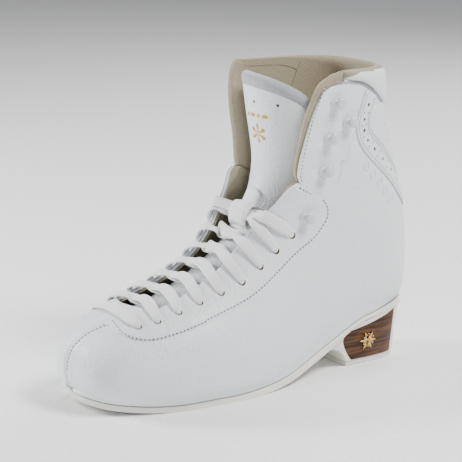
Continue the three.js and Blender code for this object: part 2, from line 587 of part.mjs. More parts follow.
// A layer inside the bottom, between two heights over the last's bottom.
function strip(stations, reach, high, low) {
  const face = (height) => (v, t) => skin(v, mix(1 - reach(v), 1 + reach(v), t), -height);
  return slab(stations, 4, face(high), face(low));
}
const boardReach = (v) => 0.11 * Math.sqrt(1 - Math.max(0, (v - 9) / 0.8) ** 2);
const boardLow = LEATHER + 3 * GAP;
const boardHigh = boardLow + 2.2;
const boardRows = spread(1.7, 9.72, 16);
const bedReach = (v) => boardReach(v) - 0.012;
add('insole_board', strip(boardRows, boardReach, boardHigh, boardLow), BOARD);
add('footbed', strip(boardRows, bedReach, boardHigh + GAP + 3, boardHigh + GAP), CREAM);
const SHANK_HALF = 9;
function shankReach(v) {
  const here = section(v);
  return Math.asin((SHANK_HALF / here.medial) ** (here.lower / 2)) / Math.PI;
}
add('shank', strip(spread(6.4, 9.4, 6), shankReach, boardLow - 0.8, 0.5), STEEL);

// ---------------------------------------------------------------- heel
// The heel's outline in plan at a height; straight sides and a rounded back.
function heelOutline(z, shrink) {
  const rise = z / HEEL_HEIGHT;
  const half = HEEL_HALF_WIDTH + HEEL_FLARE * rise - shrink;
  const [x0, y0] = CENTRE;
  const back = HEEL_BACK - y0 + 2.5 * rise - shrink;
  const reach = 1.15 * half;
  const arc = spread(0, Math.PI, 12).map((turn) => new THREE.Vector2(
    half * Math.sign(Math.cos(turn)) * Math.abs(Math.cos(turn)) ** 0.8 - x0,
    (back - reach + reach * Math.sin(turn) ** 0.8) * BOOT_LENGTH,
  ));
  const front = 30 * BOOT_LENGTH;
  return [new THREE.Vector2(half - x0, front), ...arc, new THREE.Vector2(-half - x0, front)];
}

function heelLoft(low, high, shrink = 0) {
  const floor = heelOutline(0, shrink);
  const solid = new THREE.ExtrudeGeometry(new THREE.Shape(floor), { depth: 1, bevelEnabled: false });
  const at = solid.attributes.position;
  for (let i = 0; i < at.count; i += 1) {
    const z = at.getZ(i) > 0.5 ? high : low;
    const k = floor.findIndex((p) => Math.hypot(p.x - at.getX(i), p.y - at.getY(i)) < 1e-3);
    const moved = heelOutline(z, shrink)[k];
    at.setXYZ(i, moved.x, moved.y, z);
  }
  return solid;
}

// Turns a side view, drawn in y and z, into a solid between two places across the boot.
function fromSide(shape, from, to) {
  const solid = new THREE.ExtrudeGeometry(shape, { depth: to - from, bevelEnabled: false, curveSegments: 8 });
  const [across, along, up] = [[1, 0, 0], [0, BOOT_LENGTH, 0], [0, 0, 1]].map((a) => new THREE.Vector3(...a));
  const basis = new THREE.Matrix4().makeBasis(along, up, across);
  return solid.applyMatrix4(basis).translate(from, -CENTRE[1] * BOOT_LENGTH, 0);
}

const HEEL_CEILING = 52;
const side = new THREE.Shape();
side.moveTo(HEEL_FRONT, TOP_PIECE + GAP);
side.lineTo(HEEL_BACK + 12, TOP_PIECE + GAP);
side.lineTo(HEEL_BACK + 12, HEEL_CEILING);
side.lineTo(46, HEEL_CEILING);
side.lineTo(46, 12.5);
side.quadraticCurveTo(63, 20, HEEL_FRONT, TOP_PIECE + GAP);
const foot = new THREE.Shape();
foot.moveTo(HEEL_FRONT, 0);
foot.lineTo(HEEL_BACK + 12, 0);
foot.lineTo(HEEL_BACK + 12, TOP_PIECE);
foot.lineTo(HEEL_FRONT, TOP_PIECE);
foot.lineTo(HEEL_FRONT, 0);
const heelCeiling = (v, t) => soleFloor(v, t, GAP);
const underSole = slab([7.85, ...HEEL_ROWS], 12, heelCeiling, (v, t) => heelCeiling(v, t).setZ(-9));

// The wood-look inlays are let into the sides of the heel.
function inlayShape(margin) {
  const shape = new THREE.Shape();
  shape.moveTo(75.5 - margin, TOP_PIECE + 1 - margin);
  shape.lineTo(112 + margin, TOP_PIECE + 1 - margin);
  shape.lineTo(112 + margin, 35.5 + margin);
  shape.quadraticCurveTo(99, 31 + margin, 86, 28 + margin);
  shape.lineTo(75, 26 + margin);
  shape.quadraticCurveTo(66 - margin, 25 + margin, 66 - margin, 19);
  shape.quadraticCurveTo(68 - margin, 12, 75.5 - margin, TOP_PIECE + 1 - margin);
  return shape;
}
const heelSolid = common(fromSide(side, -50, 50), heelLoft(TOP_PIECE + GAP, HEEL_CEILING), underSole);
const core = heelLoft(-5, HEEL_CEILING + 5, INLAY + GAP);
const surface = heelLoft(-5, HEEL_CEILING + 5, INLAY);
const pocket = cut(fromSide(inlayShape(GAP), -50, 50), [core]);
add('heel_block', cut(heelSolid, [pocket]), SOLE_WHITE);
add('heel_top_piece', common(fromSide(foot, -50, 50), heelLoft(-1, TOP_PIECE + 1)), SOLE_WHITE);
const inlays = { lateral: [1, 50], medial: [-50, -1] };
for (const [name, [from, to]] of Object.entries(inlays)) {
  const plate = common(fromSide(inlayShape(0), from, to), heelSolid);
  add(`heel_inlay_${name}`, cut(plate, [surface]), WOOD);
}

// The ornament: a six-armed snow crystal held by two rivets, standing on the outer inlay.
const lean = Math.atan(HEEL_FLARE / HEEL_HEIGHT);
const badgeHeight = 17;
function onInlay(y, z, out) {
  const flank = HEEL_HALF_WIDTH + (HEEL_FLARE * z) / HEEL_HEIGHT - CENTRE[0];
  const basis = new THREE.Matrix4().makeRotationZ(Math.PI / 2).premultiply(new THREE.Matrix4()
    .makeRotationY(Math.PI / 2 + lean));
  const along = (y - CENTRE[1]) * BOOT_LENGTH;
  return basis.setPosition(flank + out * Math.cos(lean), along, z - out * Math.sin(lean));
}
const crystal = new THREE.Shape(spread(0, 11, 11).map((k) => new THREE.Vector2(
  (k % 2 === 0 ? BADGE / 2 : BADGE / 5), 0).rotateAround(new THREE.Vector2(), (k * Math.PI) / 6)));
const badge = new THREE.ExtrudeGeometry(crystal, { depth: 1.2, bevelEnabled: false });
const rivetPlaces = [[87.5, badgeHeight + 2], [87.5, badgeHeight - 2]];
const badgeSolid = badge.applyMatrix4(onInlay(87.5, badgeHeight, GAP));
const rivetBore = ([y, z]) => new THREE.CylinderGeometry(1.1 + GAP, 1.1 + GAP, 8, 8).rotateX(Math.PI / 2)
  .applyMatrix4(onInlay(y, z, 0));
add('heel_badge', cut(badgeSolid, rivetPlaces.map(rivetBore)), GOLD);
rivetPlaces.forEach(([y, z], i) => {
  const profile = [[0, 0], [1.1, 0], [1.1, 2.1], [1.7, 2.1], [1.3, 2.8], [0, 3.1]];
  const points = profile.map(([r, h]) => new THREE.Vector2(r, h));
  const rivet = new THREE.LatheGeometry(points, 8).rotateX(Math.PI / 2);
  add(`badge_rivet_${i + 1}`, rivet, GOLD, onInlay(y, z, GAP));
});

export default boot;
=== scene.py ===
"""Leather figure skating boot, built round its CAD frame. Sizes are millimetres until a mesh is made."""
import json
import math

import bmesh
import bpy
import numpy as np
from mathutils import Matrix, Vector
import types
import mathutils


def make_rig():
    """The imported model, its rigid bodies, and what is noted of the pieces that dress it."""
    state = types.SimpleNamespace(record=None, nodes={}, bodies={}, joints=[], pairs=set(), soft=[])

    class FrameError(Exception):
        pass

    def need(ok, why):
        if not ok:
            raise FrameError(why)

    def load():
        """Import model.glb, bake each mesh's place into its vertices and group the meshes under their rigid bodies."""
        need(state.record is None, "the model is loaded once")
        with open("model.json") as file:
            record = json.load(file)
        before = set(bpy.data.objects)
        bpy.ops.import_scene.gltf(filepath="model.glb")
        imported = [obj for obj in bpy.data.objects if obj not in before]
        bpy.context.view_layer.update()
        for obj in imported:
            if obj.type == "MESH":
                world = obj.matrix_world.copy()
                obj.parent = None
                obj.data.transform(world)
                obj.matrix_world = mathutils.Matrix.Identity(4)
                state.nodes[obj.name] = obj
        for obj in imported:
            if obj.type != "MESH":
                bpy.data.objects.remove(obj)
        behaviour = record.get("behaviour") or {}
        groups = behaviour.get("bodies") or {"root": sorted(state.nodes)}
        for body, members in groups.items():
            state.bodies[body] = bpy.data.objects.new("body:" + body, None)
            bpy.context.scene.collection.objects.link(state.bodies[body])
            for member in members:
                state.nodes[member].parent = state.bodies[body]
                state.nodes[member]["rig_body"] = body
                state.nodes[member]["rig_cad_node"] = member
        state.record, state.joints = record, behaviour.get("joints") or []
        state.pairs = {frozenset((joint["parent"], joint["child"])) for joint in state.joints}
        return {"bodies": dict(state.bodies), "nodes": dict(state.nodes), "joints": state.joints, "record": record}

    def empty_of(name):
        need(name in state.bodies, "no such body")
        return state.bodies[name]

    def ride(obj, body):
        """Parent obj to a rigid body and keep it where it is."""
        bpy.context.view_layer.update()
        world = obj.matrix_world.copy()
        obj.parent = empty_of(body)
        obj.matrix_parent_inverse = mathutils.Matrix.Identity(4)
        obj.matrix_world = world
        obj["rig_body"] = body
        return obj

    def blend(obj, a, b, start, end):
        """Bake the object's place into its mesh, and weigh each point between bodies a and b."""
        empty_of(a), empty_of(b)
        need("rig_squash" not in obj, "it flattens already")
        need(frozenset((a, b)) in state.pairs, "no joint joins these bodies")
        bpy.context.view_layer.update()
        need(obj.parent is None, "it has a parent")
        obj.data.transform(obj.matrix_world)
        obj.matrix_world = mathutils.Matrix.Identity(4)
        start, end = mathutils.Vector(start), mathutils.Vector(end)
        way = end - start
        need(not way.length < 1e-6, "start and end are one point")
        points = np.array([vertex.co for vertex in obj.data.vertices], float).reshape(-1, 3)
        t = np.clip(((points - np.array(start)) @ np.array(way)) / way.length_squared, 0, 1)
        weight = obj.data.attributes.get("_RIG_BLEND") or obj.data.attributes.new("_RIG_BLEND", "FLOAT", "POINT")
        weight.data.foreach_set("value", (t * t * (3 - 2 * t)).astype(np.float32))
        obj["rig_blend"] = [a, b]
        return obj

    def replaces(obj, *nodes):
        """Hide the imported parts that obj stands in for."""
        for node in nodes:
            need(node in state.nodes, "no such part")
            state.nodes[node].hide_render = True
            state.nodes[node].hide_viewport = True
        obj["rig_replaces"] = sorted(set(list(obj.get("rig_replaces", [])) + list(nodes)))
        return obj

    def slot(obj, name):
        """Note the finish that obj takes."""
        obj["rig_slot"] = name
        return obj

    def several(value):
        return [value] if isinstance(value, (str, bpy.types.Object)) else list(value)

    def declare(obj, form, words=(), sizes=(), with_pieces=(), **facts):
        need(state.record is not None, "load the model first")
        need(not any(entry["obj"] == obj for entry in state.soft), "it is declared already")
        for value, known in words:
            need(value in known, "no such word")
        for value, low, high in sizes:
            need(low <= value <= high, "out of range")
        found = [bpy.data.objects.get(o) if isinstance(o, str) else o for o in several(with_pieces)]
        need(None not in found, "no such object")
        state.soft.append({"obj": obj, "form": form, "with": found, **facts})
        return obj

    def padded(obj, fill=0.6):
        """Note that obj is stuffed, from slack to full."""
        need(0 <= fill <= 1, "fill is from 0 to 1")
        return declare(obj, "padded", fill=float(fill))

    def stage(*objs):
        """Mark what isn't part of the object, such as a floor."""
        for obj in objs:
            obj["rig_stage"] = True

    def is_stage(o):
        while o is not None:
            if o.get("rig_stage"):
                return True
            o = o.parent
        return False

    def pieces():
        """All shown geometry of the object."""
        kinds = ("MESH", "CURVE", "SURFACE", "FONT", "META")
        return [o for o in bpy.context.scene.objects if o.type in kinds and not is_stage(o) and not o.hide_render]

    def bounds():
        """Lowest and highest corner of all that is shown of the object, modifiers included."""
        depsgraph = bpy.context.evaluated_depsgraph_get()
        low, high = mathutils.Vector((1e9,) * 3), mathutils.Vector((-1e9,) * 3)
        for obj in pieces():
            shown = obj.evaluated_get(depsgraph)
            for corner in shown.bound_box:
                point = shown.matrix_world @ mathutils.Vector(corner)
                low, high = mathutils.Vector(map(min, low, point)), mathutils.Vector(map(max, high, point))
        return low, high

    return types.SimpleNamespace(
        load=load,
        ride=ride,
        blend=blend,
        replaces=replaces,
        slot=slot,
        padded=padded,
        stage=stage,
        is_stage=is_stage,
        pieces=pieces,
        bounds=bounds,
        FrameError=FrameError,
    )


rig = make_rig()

bl_info = {
    "name": "Figure skating boot",
    "version": (1, 0, 0),
    "blender": (4, 5, 0),
    "location": "3D View > Sidebar > Boot",
    "description": "Leather, lace, sole and fittings of a figure skating boot",
    "category": "Object",
}

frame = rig.load()
CAD_BOX = [list(corner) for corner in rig.bounds()]
MM = 0.001

# ------------------------------------------------------------------ the last
# centre x, top y, top z, bottom y, bottom z, lateral and medial half width, depth of the widest
# place, upper and lower squareness, leather ahead of the tongue
SECTIONS = np.array([
    (-6.0, -129.5, 15.0, -129.0, 13.0, 3.0, 3.0, 0.55, 2.0, 2.0, 0),
    (-6.0, -131.5, 27.0, -125.5, 11.0, 21.0, 15.0, 0.6, 2.1, 3.5, 0),
    (-5.5, -128.5, 40.5, -115.5, 8.5, 34.0, 24.5, 0.62, 2.1, 5.5, 0),
    (-5.0, -116.0, 52.0, -98.0, 6.2, 43.0, 32.5, 0.62, 2.1, 7.5, 0),
    (-4.5, -96.0, 60.0, -78.0, 4.8, 49.5, 38.0, 0.62, 2.1, 8.0, 0),
    (-2.5, -74.0, 67.0, -52.0, 4.8, 51.5, 41.5, 0.61, 2.1, 8.0, 0),
    (-1.0, -52.0, 76.0, -24.0, 4.8, 51.0, 40.5, 0.6, 2.0, 8.0, 0),
    (0.0, -31.0, 88.0, 10.0, 7.5, 46.5, 37.0, 0.57, 2.1, 6.5, 1),
    (0.0, -12.0, 100.0, 46.0, 18.5, 40.0, 35.0, 0.55, 2.4, 5.5, 6.5),
    (0.0, 1.0, 112.0, 84.0, 32.0, 37.0, 35.0, 0.52, 2.9, 4.8, 11),
    (0.0, 9.0, 124.0, 121.0, 38.5, 36.5, 36.0, 0.48, 3.5, 3.8, 14),
    (0.0, 13.0, 136.0, 133.0, 66.0, 37.5, 37.5, 0.46, 4.0, 2.6, 15),
    (0.0, 14.0, 148.0, 131.5, 96.0, 38.0, 38.0, 0.46, 4.2, 2.4, 15),
    (0.0, 12.5, 160.0, 122.0, 126.0, 38.5, 38.5, 0.47, 4.2, 2.4, 14),
    (0.0, 10.0, 174.0, 111.0, 157.0, 39.0, 39.5, 0.48, 4.2, 2.4, 13),
    (0.0, 7.5, 191.0, 105.5, 185.0, 40.0, 40.5, 0.48, 4.2, 2.5, 12),
    (0.0, 5.0, 212.0, 103.0, 212.0, 41.0, 41.5, 0.48, 4.2, 2.6, 11),
])
CUFF = len(SECTIONS) - 1
STATION = 14.0  # mean distance from one section to the next
WAIST = (9.9, 10.35)  # stations where the feather edge rises to the back of the heel
CENTRE = (1.45, 1.15)
RIM = 15.66
NOTCH = 11.15
VAMP = 4.25  # where the throat ends over the toes
THROAT = [(VAMP, 0.02), (4.4, 0.09), (4.7, 0.132), (5.4, 0.134), (6.6, 0.138), (7.6, 0.142),
          (8.3, 0.158), (9.0, 0.19), (9.8, 0.235), (10.6, 0.285), (NOTCH, 0.34)]
FACING_EDGE = [(3.26, 0.15), (3.42, 0.218), (3.64, 0.26), (3.95, 0.284), (4.4, 0.3), (5.2, 0.305),
               (6.06, 0.311), (6.9, 0.338), (7.8, 0.376), (8.5, 0.405), (9.3, 0.441), (10.0, 0.46),
               (10.6, 0.474), (10.95, 0.468), (11.08, 0.446)]
FLAP_EDGE = {
    1: [(NOTCH, 0.352), (11.54, 0.336), (12.76, 0.364), (14.14, 0.422), (14.82, 0.454),
        (15.16, 0.47), (15.4, 0.486), (RIM, 0.512)],
    -1: [(NOTCH, 0.348), (11.54, 0.336), (12.76, 0.345), (14.14, 0.36), (14.82, 0.374),
         (15.16, 0.388), (15.4, 0.402), (RIM, 0.43)],
}
FOLD_LOW = (36.0, 122.0)
FOLD_HIGH = (71.0, 204.0)
EYELETS = [(3.88, 0.186), (4.42, 0.2), (5.06, 0.202), (5.72, 0.208), (6.36, 0.228),
           (6.98, 0.258), (7.64, 0.287), (8.32, 0.319), (9.08, 0.36)]
HOOKS = [(9.98, 0.386), (12.24, 0.458), (13.64, 0.484), (14.26, 0.514), (14.84, 0.498)]
BAND_OUTER = [(15.2, 0.602), (14.34, 0.552), (13.7, 0.55), (13.24, 0.59), (12.75, 0.69),
              (12.3, 0.8), (12.1, 1)]
BAND_INNER = [(15.0, 0.672), (14.4, 0.618), (14.0, 0.622), (13.68, 0.682), (13.34, 0.75),
              (13.1, 0.85), (13.0, 1)]
COLLAR_SEAM = [(0.42, 15.46), (0.52, 15.44), (0.578, 15.38), (0.65, 15.18), (0.742, 14.86),
               (0.86, 14.6), (1, 14.5)]
TONGUE_HALF = [(3.7, 13), (4.4, 19), (5, 22), (6, 24), (8, 25), (9, 26), (10, 29), (11, 31.5),
               (13, 31.5), (16, 31)]
TONGUE_DEPTH = [(3.7, 6), (4.1, 6.3), (4.7, 8.9), (6.5, 8.8), (7.5, 7.3), (8.5, 3.4), (9.5, 0.5),
                (16, 0)]
TONGUE_HOLES = ((14.6, -0.57), (14.6, 0), (14.6, 0.57))
TOE_SEAM = [(0, 0), (1.19, 0.001), (1.64, 0.009), (2.11, 0.019), (2.53, 0.031), (2.84, 0.045),
            (3.19, 0.065), (3.52, 0.083), (3.9, 0.05), (4.25, 0.0)]
FRONT_STITCHES = [(3.53, 0.083), (3.46, 0.132), (3.425, 0.177), (3.518, 0.226), (3.694, 0.256),
                  (3.94, 0.278), (4.22, 0.288), (4.83, 0.295), (5.5, 0.2955)]
HOOK_PROFILE = [(0, -1.6), (1.6, -1.6), (1.6, 0.05), (4.0, 0.1), (4.15, 0.35), (3.9, 0.75),
                (2.9, 1.0), (2.3, 1.3), (2.0, 1.9), (1.9, 2.7), (2.1, 3.4), (2.8, 3.8), (3.6, 4.0),
                (4.0, 4.4), (4.05, 4.9), (3.8, 5.5), (3.2, 6.05), (2.3, 6.45), (1.2, 6.65), (0, 6.7)]
SIDES = (("lateral", 1), ("medial", -1))
LEATHER = 2.0
SOLE = 4.5  # thickness of the forward sole
WALL = 7.1  # leather, foam and lining together at the ankle
STRIP = 7.0  # width of leather behind the fold that bends with an ankle flap
COLLAR_ROWS = 28
ROOM = 0.004  # stations between the collar and the leather under it


def hermite(start, end, leave, arrive, s):
    return (start * (2 * s**3 - 3 * s**2 + 1) + leave * (s**3 - 2 * s**2 + s)
            + end * (3 * s**2 - 2 * s**3) + arrive * (s**3 - s**2))


def catmull(p0, p1, p2, p3, f):
    return 0.5 * (2 * p1 + (p2 - p0) * f + (2 * p0 - 5 * p1 + 4 * p2 - p3) * f * f
                  + (3 * p1 - 3 * p2 + p3 - p0) * f**3)


def through(points):
    """A smooth function through (x, y) points, level outside them."""
    x, y = np.array(points, float).T
    slope = np.concatenate([[(y[1] - y[0]) / (x[1] - x[0])], (y[2:] - y[:-2]) / (x[2:] - x[:-2]),
                            [(y[-1] - y[-2]) / (x[-1] - x[-2])]])

    def value(q):
        q = np.clip(q, x[0], x[-1])
        i = np.clip(np.searchsorted(x, q, side="right") - 1, 0, len(x) - 2)
        width = x[i + 1] - x[i]
        return hermite(y[i], y[i + 1], slope[i] * width, slope[i + 1] * width, (q - x[i]) / width)

    return value


def smooth(x):
    t = np.clip(x, 0, 1)
    return t * t * (3 - 2 * t)


def mix(a, b, t):
    return a + (b - a) * t


throat = through(THROAT)
facing_edge = through(FACING_EDGE)
collar_seam = through(COLLAR_SEAM)
tongue_half = through(TONGUE_HALF)
tongue_depth = through(TONGUE_DEPTH)
toe_seam = through(TOE_SEAM)
flap_edge = {side: through(points) for side, points in FLAP_EDGE.items()}


def sections(v):
    """The columns of SECTIONS at stations v."""
    v = np.clip(np.asarray(v, float), 0, CUFF)
    i = np.minimum(v.astype(int), CUFF - 1)
    f = (v - i)[..., None]
    around = (SECTIONS[np.clip(i + k, 0, CUFF)] for k in (-1, 0, 1, 2))
    return np.moveaxis(catmull(*around, f), -1, 0)


def skin_base(v, a):
    """Points on the outside of the leather at stations v and angles a, in half turns."""
    v, a = np.broadcast_arrays(np.asarray(v, float), np.asarray(a, float))
    cx, ty, tz, by, bz, wl, wm, m, nt, nb, ahead = sections(v)
    a = np.where(np.abs(a) > 1, a - 2 * np.sign(a), a)
    turn = np.abs(a) * np.pi
    c, s = np.cos(turn), np.maximum(np.sin(turn), 0)
    power = 2 / np.where(c >= 0, nt, nb)
    reach = np.abs(c) ** power
    share = np.where(c >= 0, m - m * reach, m + (1 - m) * reach)
    lead = ahead / np.hypot(by - ty, bz - tz)
    share = share * (1 + lead) - lead
    x = cx - CENTRE[0] + np.where(a >= 0, wl, -wm) * s**power
    return np.stack([x, ty + (by - ty) * share - CENTRE[1], tz + (bz - tz) * share], -1)


def unit(vectors):
    return vectors / np.maximum(np.linalg.norm(vectors, axis=-1, keepdims=True), 1e-9)


def outward(v, a):
    """Unit normals of the leather."""
    along = skin_base(v + 0.03, a) - skin_base(v - 0.03, a)
    return unit(np.cross(skin_base(v, a + 0.006) - skin_base(v, a - 0.006), along))


def skin(v, a, out=0.0):
    """Points a distance out from the leather, in millimetres."""
    return skin_base(v, a) + outward(v, a) * np.asarray(out)[..., None]


def tongue(v, across=0.0, out=0.0):
    """Points on the tongue, across from -1 to 1."""
    v, across, out = np.broadcast_arrays(*(np.asarray(x, float) for x in (v, across, out)))
    cx, ty, tz, by, bz, wl, wm, m = sections(v)[:8]
    depth = np.hypot(by - ty, bz - tz)
    half = tongue_half(v) * across
    share = np.minimum(np.abs(half) / (np.minimum(wl, wm) - 5.5), 0.97)
    drop = tongue_depth(v) - out + m * depth * (1 - (1 - share**2.2) ** (1 / 2.2))
    k = drop / depth
    return np.stack([cx - CENTRE[0] + half, ty + (by - ty) * k - CENTRE[1], tz + (bz - tz) * k], -1)


def tongue_up(v, across=0.0):
    return unit(tongue(v, across, 1.0) - tongue(v, across))


def fold(v):
    """The angle where the skin meets the plane that the ankle flaps fold on."""
    low = np.full(np.shape(v), 0.3)
    high = np.full(np.shape(v), 0.9)
    run, rise = FOLD_HIGH[0] - FOLD_LOW[0], FOLD_HIGH[1] - FOLD_LOW[1]
    for _ in range(24):
        angle = (low + high) / 2
        p = skin_base(v, angle)
        before = (p[..., 1] - FOLD_LOW[0] + CENTRE[1]) * rise < (p[..., 2] - FOLD_LOW[1]) * run
        low, high = np.where(before, angle, low), np.where(before, high, angle)
    return low


def shifted(v, a, distance):
    """The angle moved along the skin by a distance."""
    arc = np.linalg.norm(skin_base(v, a + 0.01) - skin_base(v, a), axis=-1) / 0.01
    return a + distance / np.maximum(arc, 20)


def feather(v):
    """The angle where the upper meets the sole, 1 behind the heel."""
    return mix(0.79, 1.0, smooth((v - WAIST[0]) / 0.45))


def sole_drop(v):
    """How far the leather comes down over the edge of the sole."""
    return 2.0 * smooth((v - 0.05) / 0.45) * (1 - smooth((v - 9.2) / 0.6))


def centre_gap(v):
    """The angle 0.16 mm from the centre line."""
    row = sections(v)
    return np.arcsin((0.16 / np.minimum(row[5], row[6])) ** (row[8] / 2)) / np.pi


def throat_edge(v):
    return np.where(v < VAMP, centre_gap(v), np.maximum(throat(v), centre_gap(v)))


def back_edge(v):
    return 1.9 - shifted(v, np.full(np.shape(v), 0.9), 0.12)


def lasted_edge(v):
    return np.minimum(feather(v) + 0.15, back_edge(v))


def padding(v, a):
    """Share of the room that foam takes between leather and lining."""
    heel = smooth((v - 8.6 + 4 * (np.abs(a) - 0.5)) / 1.2)
    return np.maximum(heel, smooth((3.7 - v) / 0.5))


def mirrored(points):
    """A line through points down one side and up the other; t from 0 to 1."""
    knots = np.array(points, float)
    longer = np.concatenate([2 * knots[:1] - knots[1:2], knots, 2 * knots[-1:] - knots[-2:-1]])

    def at(t):
        t = np.asarray(t, float)
        u = np.minimum(t, 1 - t) * 2 * (len(knots) - 1)
        i = np.minimum(u.astype(int), len(knots) - 2)
        f = (u - i)[..., None]
        v, a = np.moveaxis(catmull(*(longer[i + k] for k in range(4)), f), -1, 0)
        return v, np.where(t <= 0.5, a, 2 - a)

    return at


# ------------------------------------------------------------------ meshes
ROUND = np.array([0, 0.06, 0.2, 0.42, 0.7, 1.0])


def crowded(count, length, radius):
    """Shares from 0 to 1 that crowd within a radius of both ends of a length."""
    edge = ROUND * np.minimum(radius / np.maximum(length, 1e-6), 0.3)[..., None]
    inner = np.linspace(0, 1, count)[1:-1]
    middle = edge[..., -1:] + (1 - 2 * edge[..., -1:]) * inner
    return np.concatenate([edge, middle, 1 - edge[..., ::-1]], -1)


def bullnose(distance, radius):
    """1 away from an edge, falling on a quarter circle to nearly 0 at it."""
    t = np.clip(distance / radius, 0, 1)
    return np.maximum(np.sqrt(np.maximum(1 - (1 - t) ** 2, 0)), 0.1)


def smoothed(mesh, sharp):
    """Smooth shading, broken at edges of more than an angle unless it is 0."""
    mesh.polygons.foreach_set("use_smooth", [True] * len(mesh.polygons))
    if sharp:
        mesh.set_sharp_from_angle(angle=math.radians(sharp))


def linked(name, data):
    obj = bpy.data.objects.new(name, data)
    bpy.context.scene.collection.objects.link(obj)
    return obj


def mesh_object(name, points, faces, sharp=50):
    mesh = bpy.data.meshes.new(name)
    mesh.from_pydata([tuple(p) for p in np.asarray(points, float) * MM], [], faces)
    mesh.update()
    smoothed(mesh, sharp)
    return linked(name, mesh)


def circle(sides):
    """Cosines and sines of equal steps round a circle."""
    turn = np.linspace(0, 2 * np.pi, sides, endpoint=False)
    return np.stack([np.cos(turn), np.sin(turn)], -1)


def walls(rings, sides, closed=False):
    """Faces between rings of points; closed joins the last ring to the first."""
    return [[row * sides + k, row * sides + (k + 1) % sides, (row + 1) % rings * sides + (k + 1) % sides,
             (row + 1) % rings * sides + k] for row in range(rings - 1 + closed) for k in range(sides)]


def placed(points, matrix):
    return points @ matrix[:3, :3].T + matrix[:3, 3]


def shell(name, outer, inner):
    """A closed sheet between two grids of points."""
    rows, columns = outer.shape[:2]
    count = rows * columns
    points = np.concatenate([outer.reshape(-1, 3), inner.reshape(-1, 3)])
    index = np.arange(count).reshape(rows, columns)
    a, b, c, d = index[:-1, :-1], index[1:, :-1], index[1:, 1:], index[:-1, 1:]
    quads = np.stack([a, b, c, d], -1).reshape(-1, 4)
    faces = [quads, quads[:, ::-1] + count]
    for line in (index[0, ::-1], index[-1, :], index[:, 0], index[::-1, -1]):
        p, q = line[:-1], line[1:]
        faces.append(np.stack([p, p + count, q + count, q], -1)[:, ::-1])
    faces = np.concatenate(faces)
    corner = points[faces]
    volume = np.einsum("ij,ij->", corner[:, 0], np.cross(corner[:, 1], corner[:, 2]))
    volume += np.einsum("ij,ij->", corner[:, 0], np.cross(corner[:, 2], corner[:, 3]))
    if volume < 0:
        faces = faces[:, ::-1]
    return mesh_object(name, points, faces.tolist())


class Panel:
    """A grid over the last between two angles that depend on the station."""

    def __init__(self, side, ends, lo, hi, size, radius, top=None, stations=None):
        self.side = side
        start, end = ends
        length = (end - start) * STATION
        share = crowded(size[0], length, radius)
        row = mix(start, end, share) if stations is None else stations
        if stations is not None:
            share = (row - start) / (end - start)
        lo, hi = lo(row), hi(row)
        steps = np.linspace(0, 1, 9)
        line = skin_base(row[:, None], side * mix(lo[:, None], hi[:, None], steps))
        wide = np.linalg.norm(np.diff(line, axis=1), axis=-1).sum(1)
        across = crowded(size[1], wide, radius)
        self.a = mix(lo[:, None], hi[:, None], across)
        self.v = np.broadcast_to(row[:, None], self.a.shape)
        if top is not None:
            self.v = mix(start, top(self.a), share[:, None])
        self.near = across * wide[:, None]
        self.far = (1 - across) * wide[:, None]
        high = np.cumsum(np.concatenate([np.zeros((1, self.a.shape[1])), np.linalg.norm(
            np.diff(skin_base(self.v, side * self.a), axis=0), axis=-1)]), 0)
        self.below = high
        self.above = high[-1:] - high
        self.edge = np.minimum(np.minimum(self.near, self.far), np.minimum(self.below, self.above))

    def build(self, name, outer, inner, radius, edge=None):
        middle, half = (outer + inner) / 2, (outer - inner) / 2
        half = half * bullnose(self.edge if edge is None else edge, radius)
        angle = self.side * self.a
        return shell(name, skin(self.v, angle, middle + half), skin(self.v, angle, middle - half))


def tube(name, centre, up, sizes, sides=14):
    """A closed ribbon along centre points, its broad face towards up; sizes are width and thickness."""
    forward = unit(np.gradient(centre, axis=0))
    width = unit(np.cross(forward, up))
    face = unit(np.cross(width, forward))
    squared, raised = (np.sign(c) * np.abs(c) ** 0.75 for c in circle(sides).T)
    rings = (centre[:, None] + width[:, None] * (sizes[:, :1] / 2 * squared)[..., None]
             + face[:, None] * (sizes[:, 1:] / 2 * raised)[..., None])
    count = len(centre)
    faces = walls(count, sides)
    faces += [list(range(sides))[::-1], list(range((count - 1) * sides, count * sides))]
    obj = mesh_object(name, rings.reshape(-1, 3), faces, sharp=60)
    run = np.concatenate([[0], np.cumsum(np.linalg.norm(np.diff(centre, axis=0), axis=1))])
    layer = obj.data.uv_layers.new(name="weave")
    loops = np.empty(len(obj.data.loops), int)
    obj.data.loops.foreach_get("vertex_index", loops)
    across = np.tile((squared + 1) / 2, count)[loops]
    layer.data.foreach_set("uv", np.stack([across, np.repeat(run, sides)[loops] / 10], -1).ravel())
    return obj


def turned(name, profile, matrix, sides):
    """A solid of revolution from (radius, height) points, placed by a 4x4 of millimetres."""
    profile = np.array(profile, float)
    points = [np.column_stack([circle(sides) * r, np.full(sides, z)]) for r, z in profile[1:-1]]
    points = np.concatenate([*points, [[0, 0, profile[0, 1]], [0, 0, profile[-1, 1]]]])
    count = len(profile) - 2
    low, rim = count * sides, (count - 1) * sides
    faces = walls(count, sides)
    for k in range(sides):
        faces += [[low, (k + 1) % sides, k], [low + 1, rim + k, rim + (k + 1) % sides]]
    return mesh_object(name, placed(points, matrix), faces, sharp=38)


def seat(point, normal, up):
    """A 4x4 whose Z is the normal and whose Y leans towards up."""
    side = unit(np.cross(up, normal))
    matrix = np.eye(4)
    matrix[:3, :3] = np.stack([side, np.cross(normal, side), normal], 1)
    matrix[:3, 3] = point
    return matrix


def skin_seat(v, a, out=0.0):
    return seat(skin(v, a, out), outward(v, a), skin_base(v + 0.1, a) - skin_base(v, a))


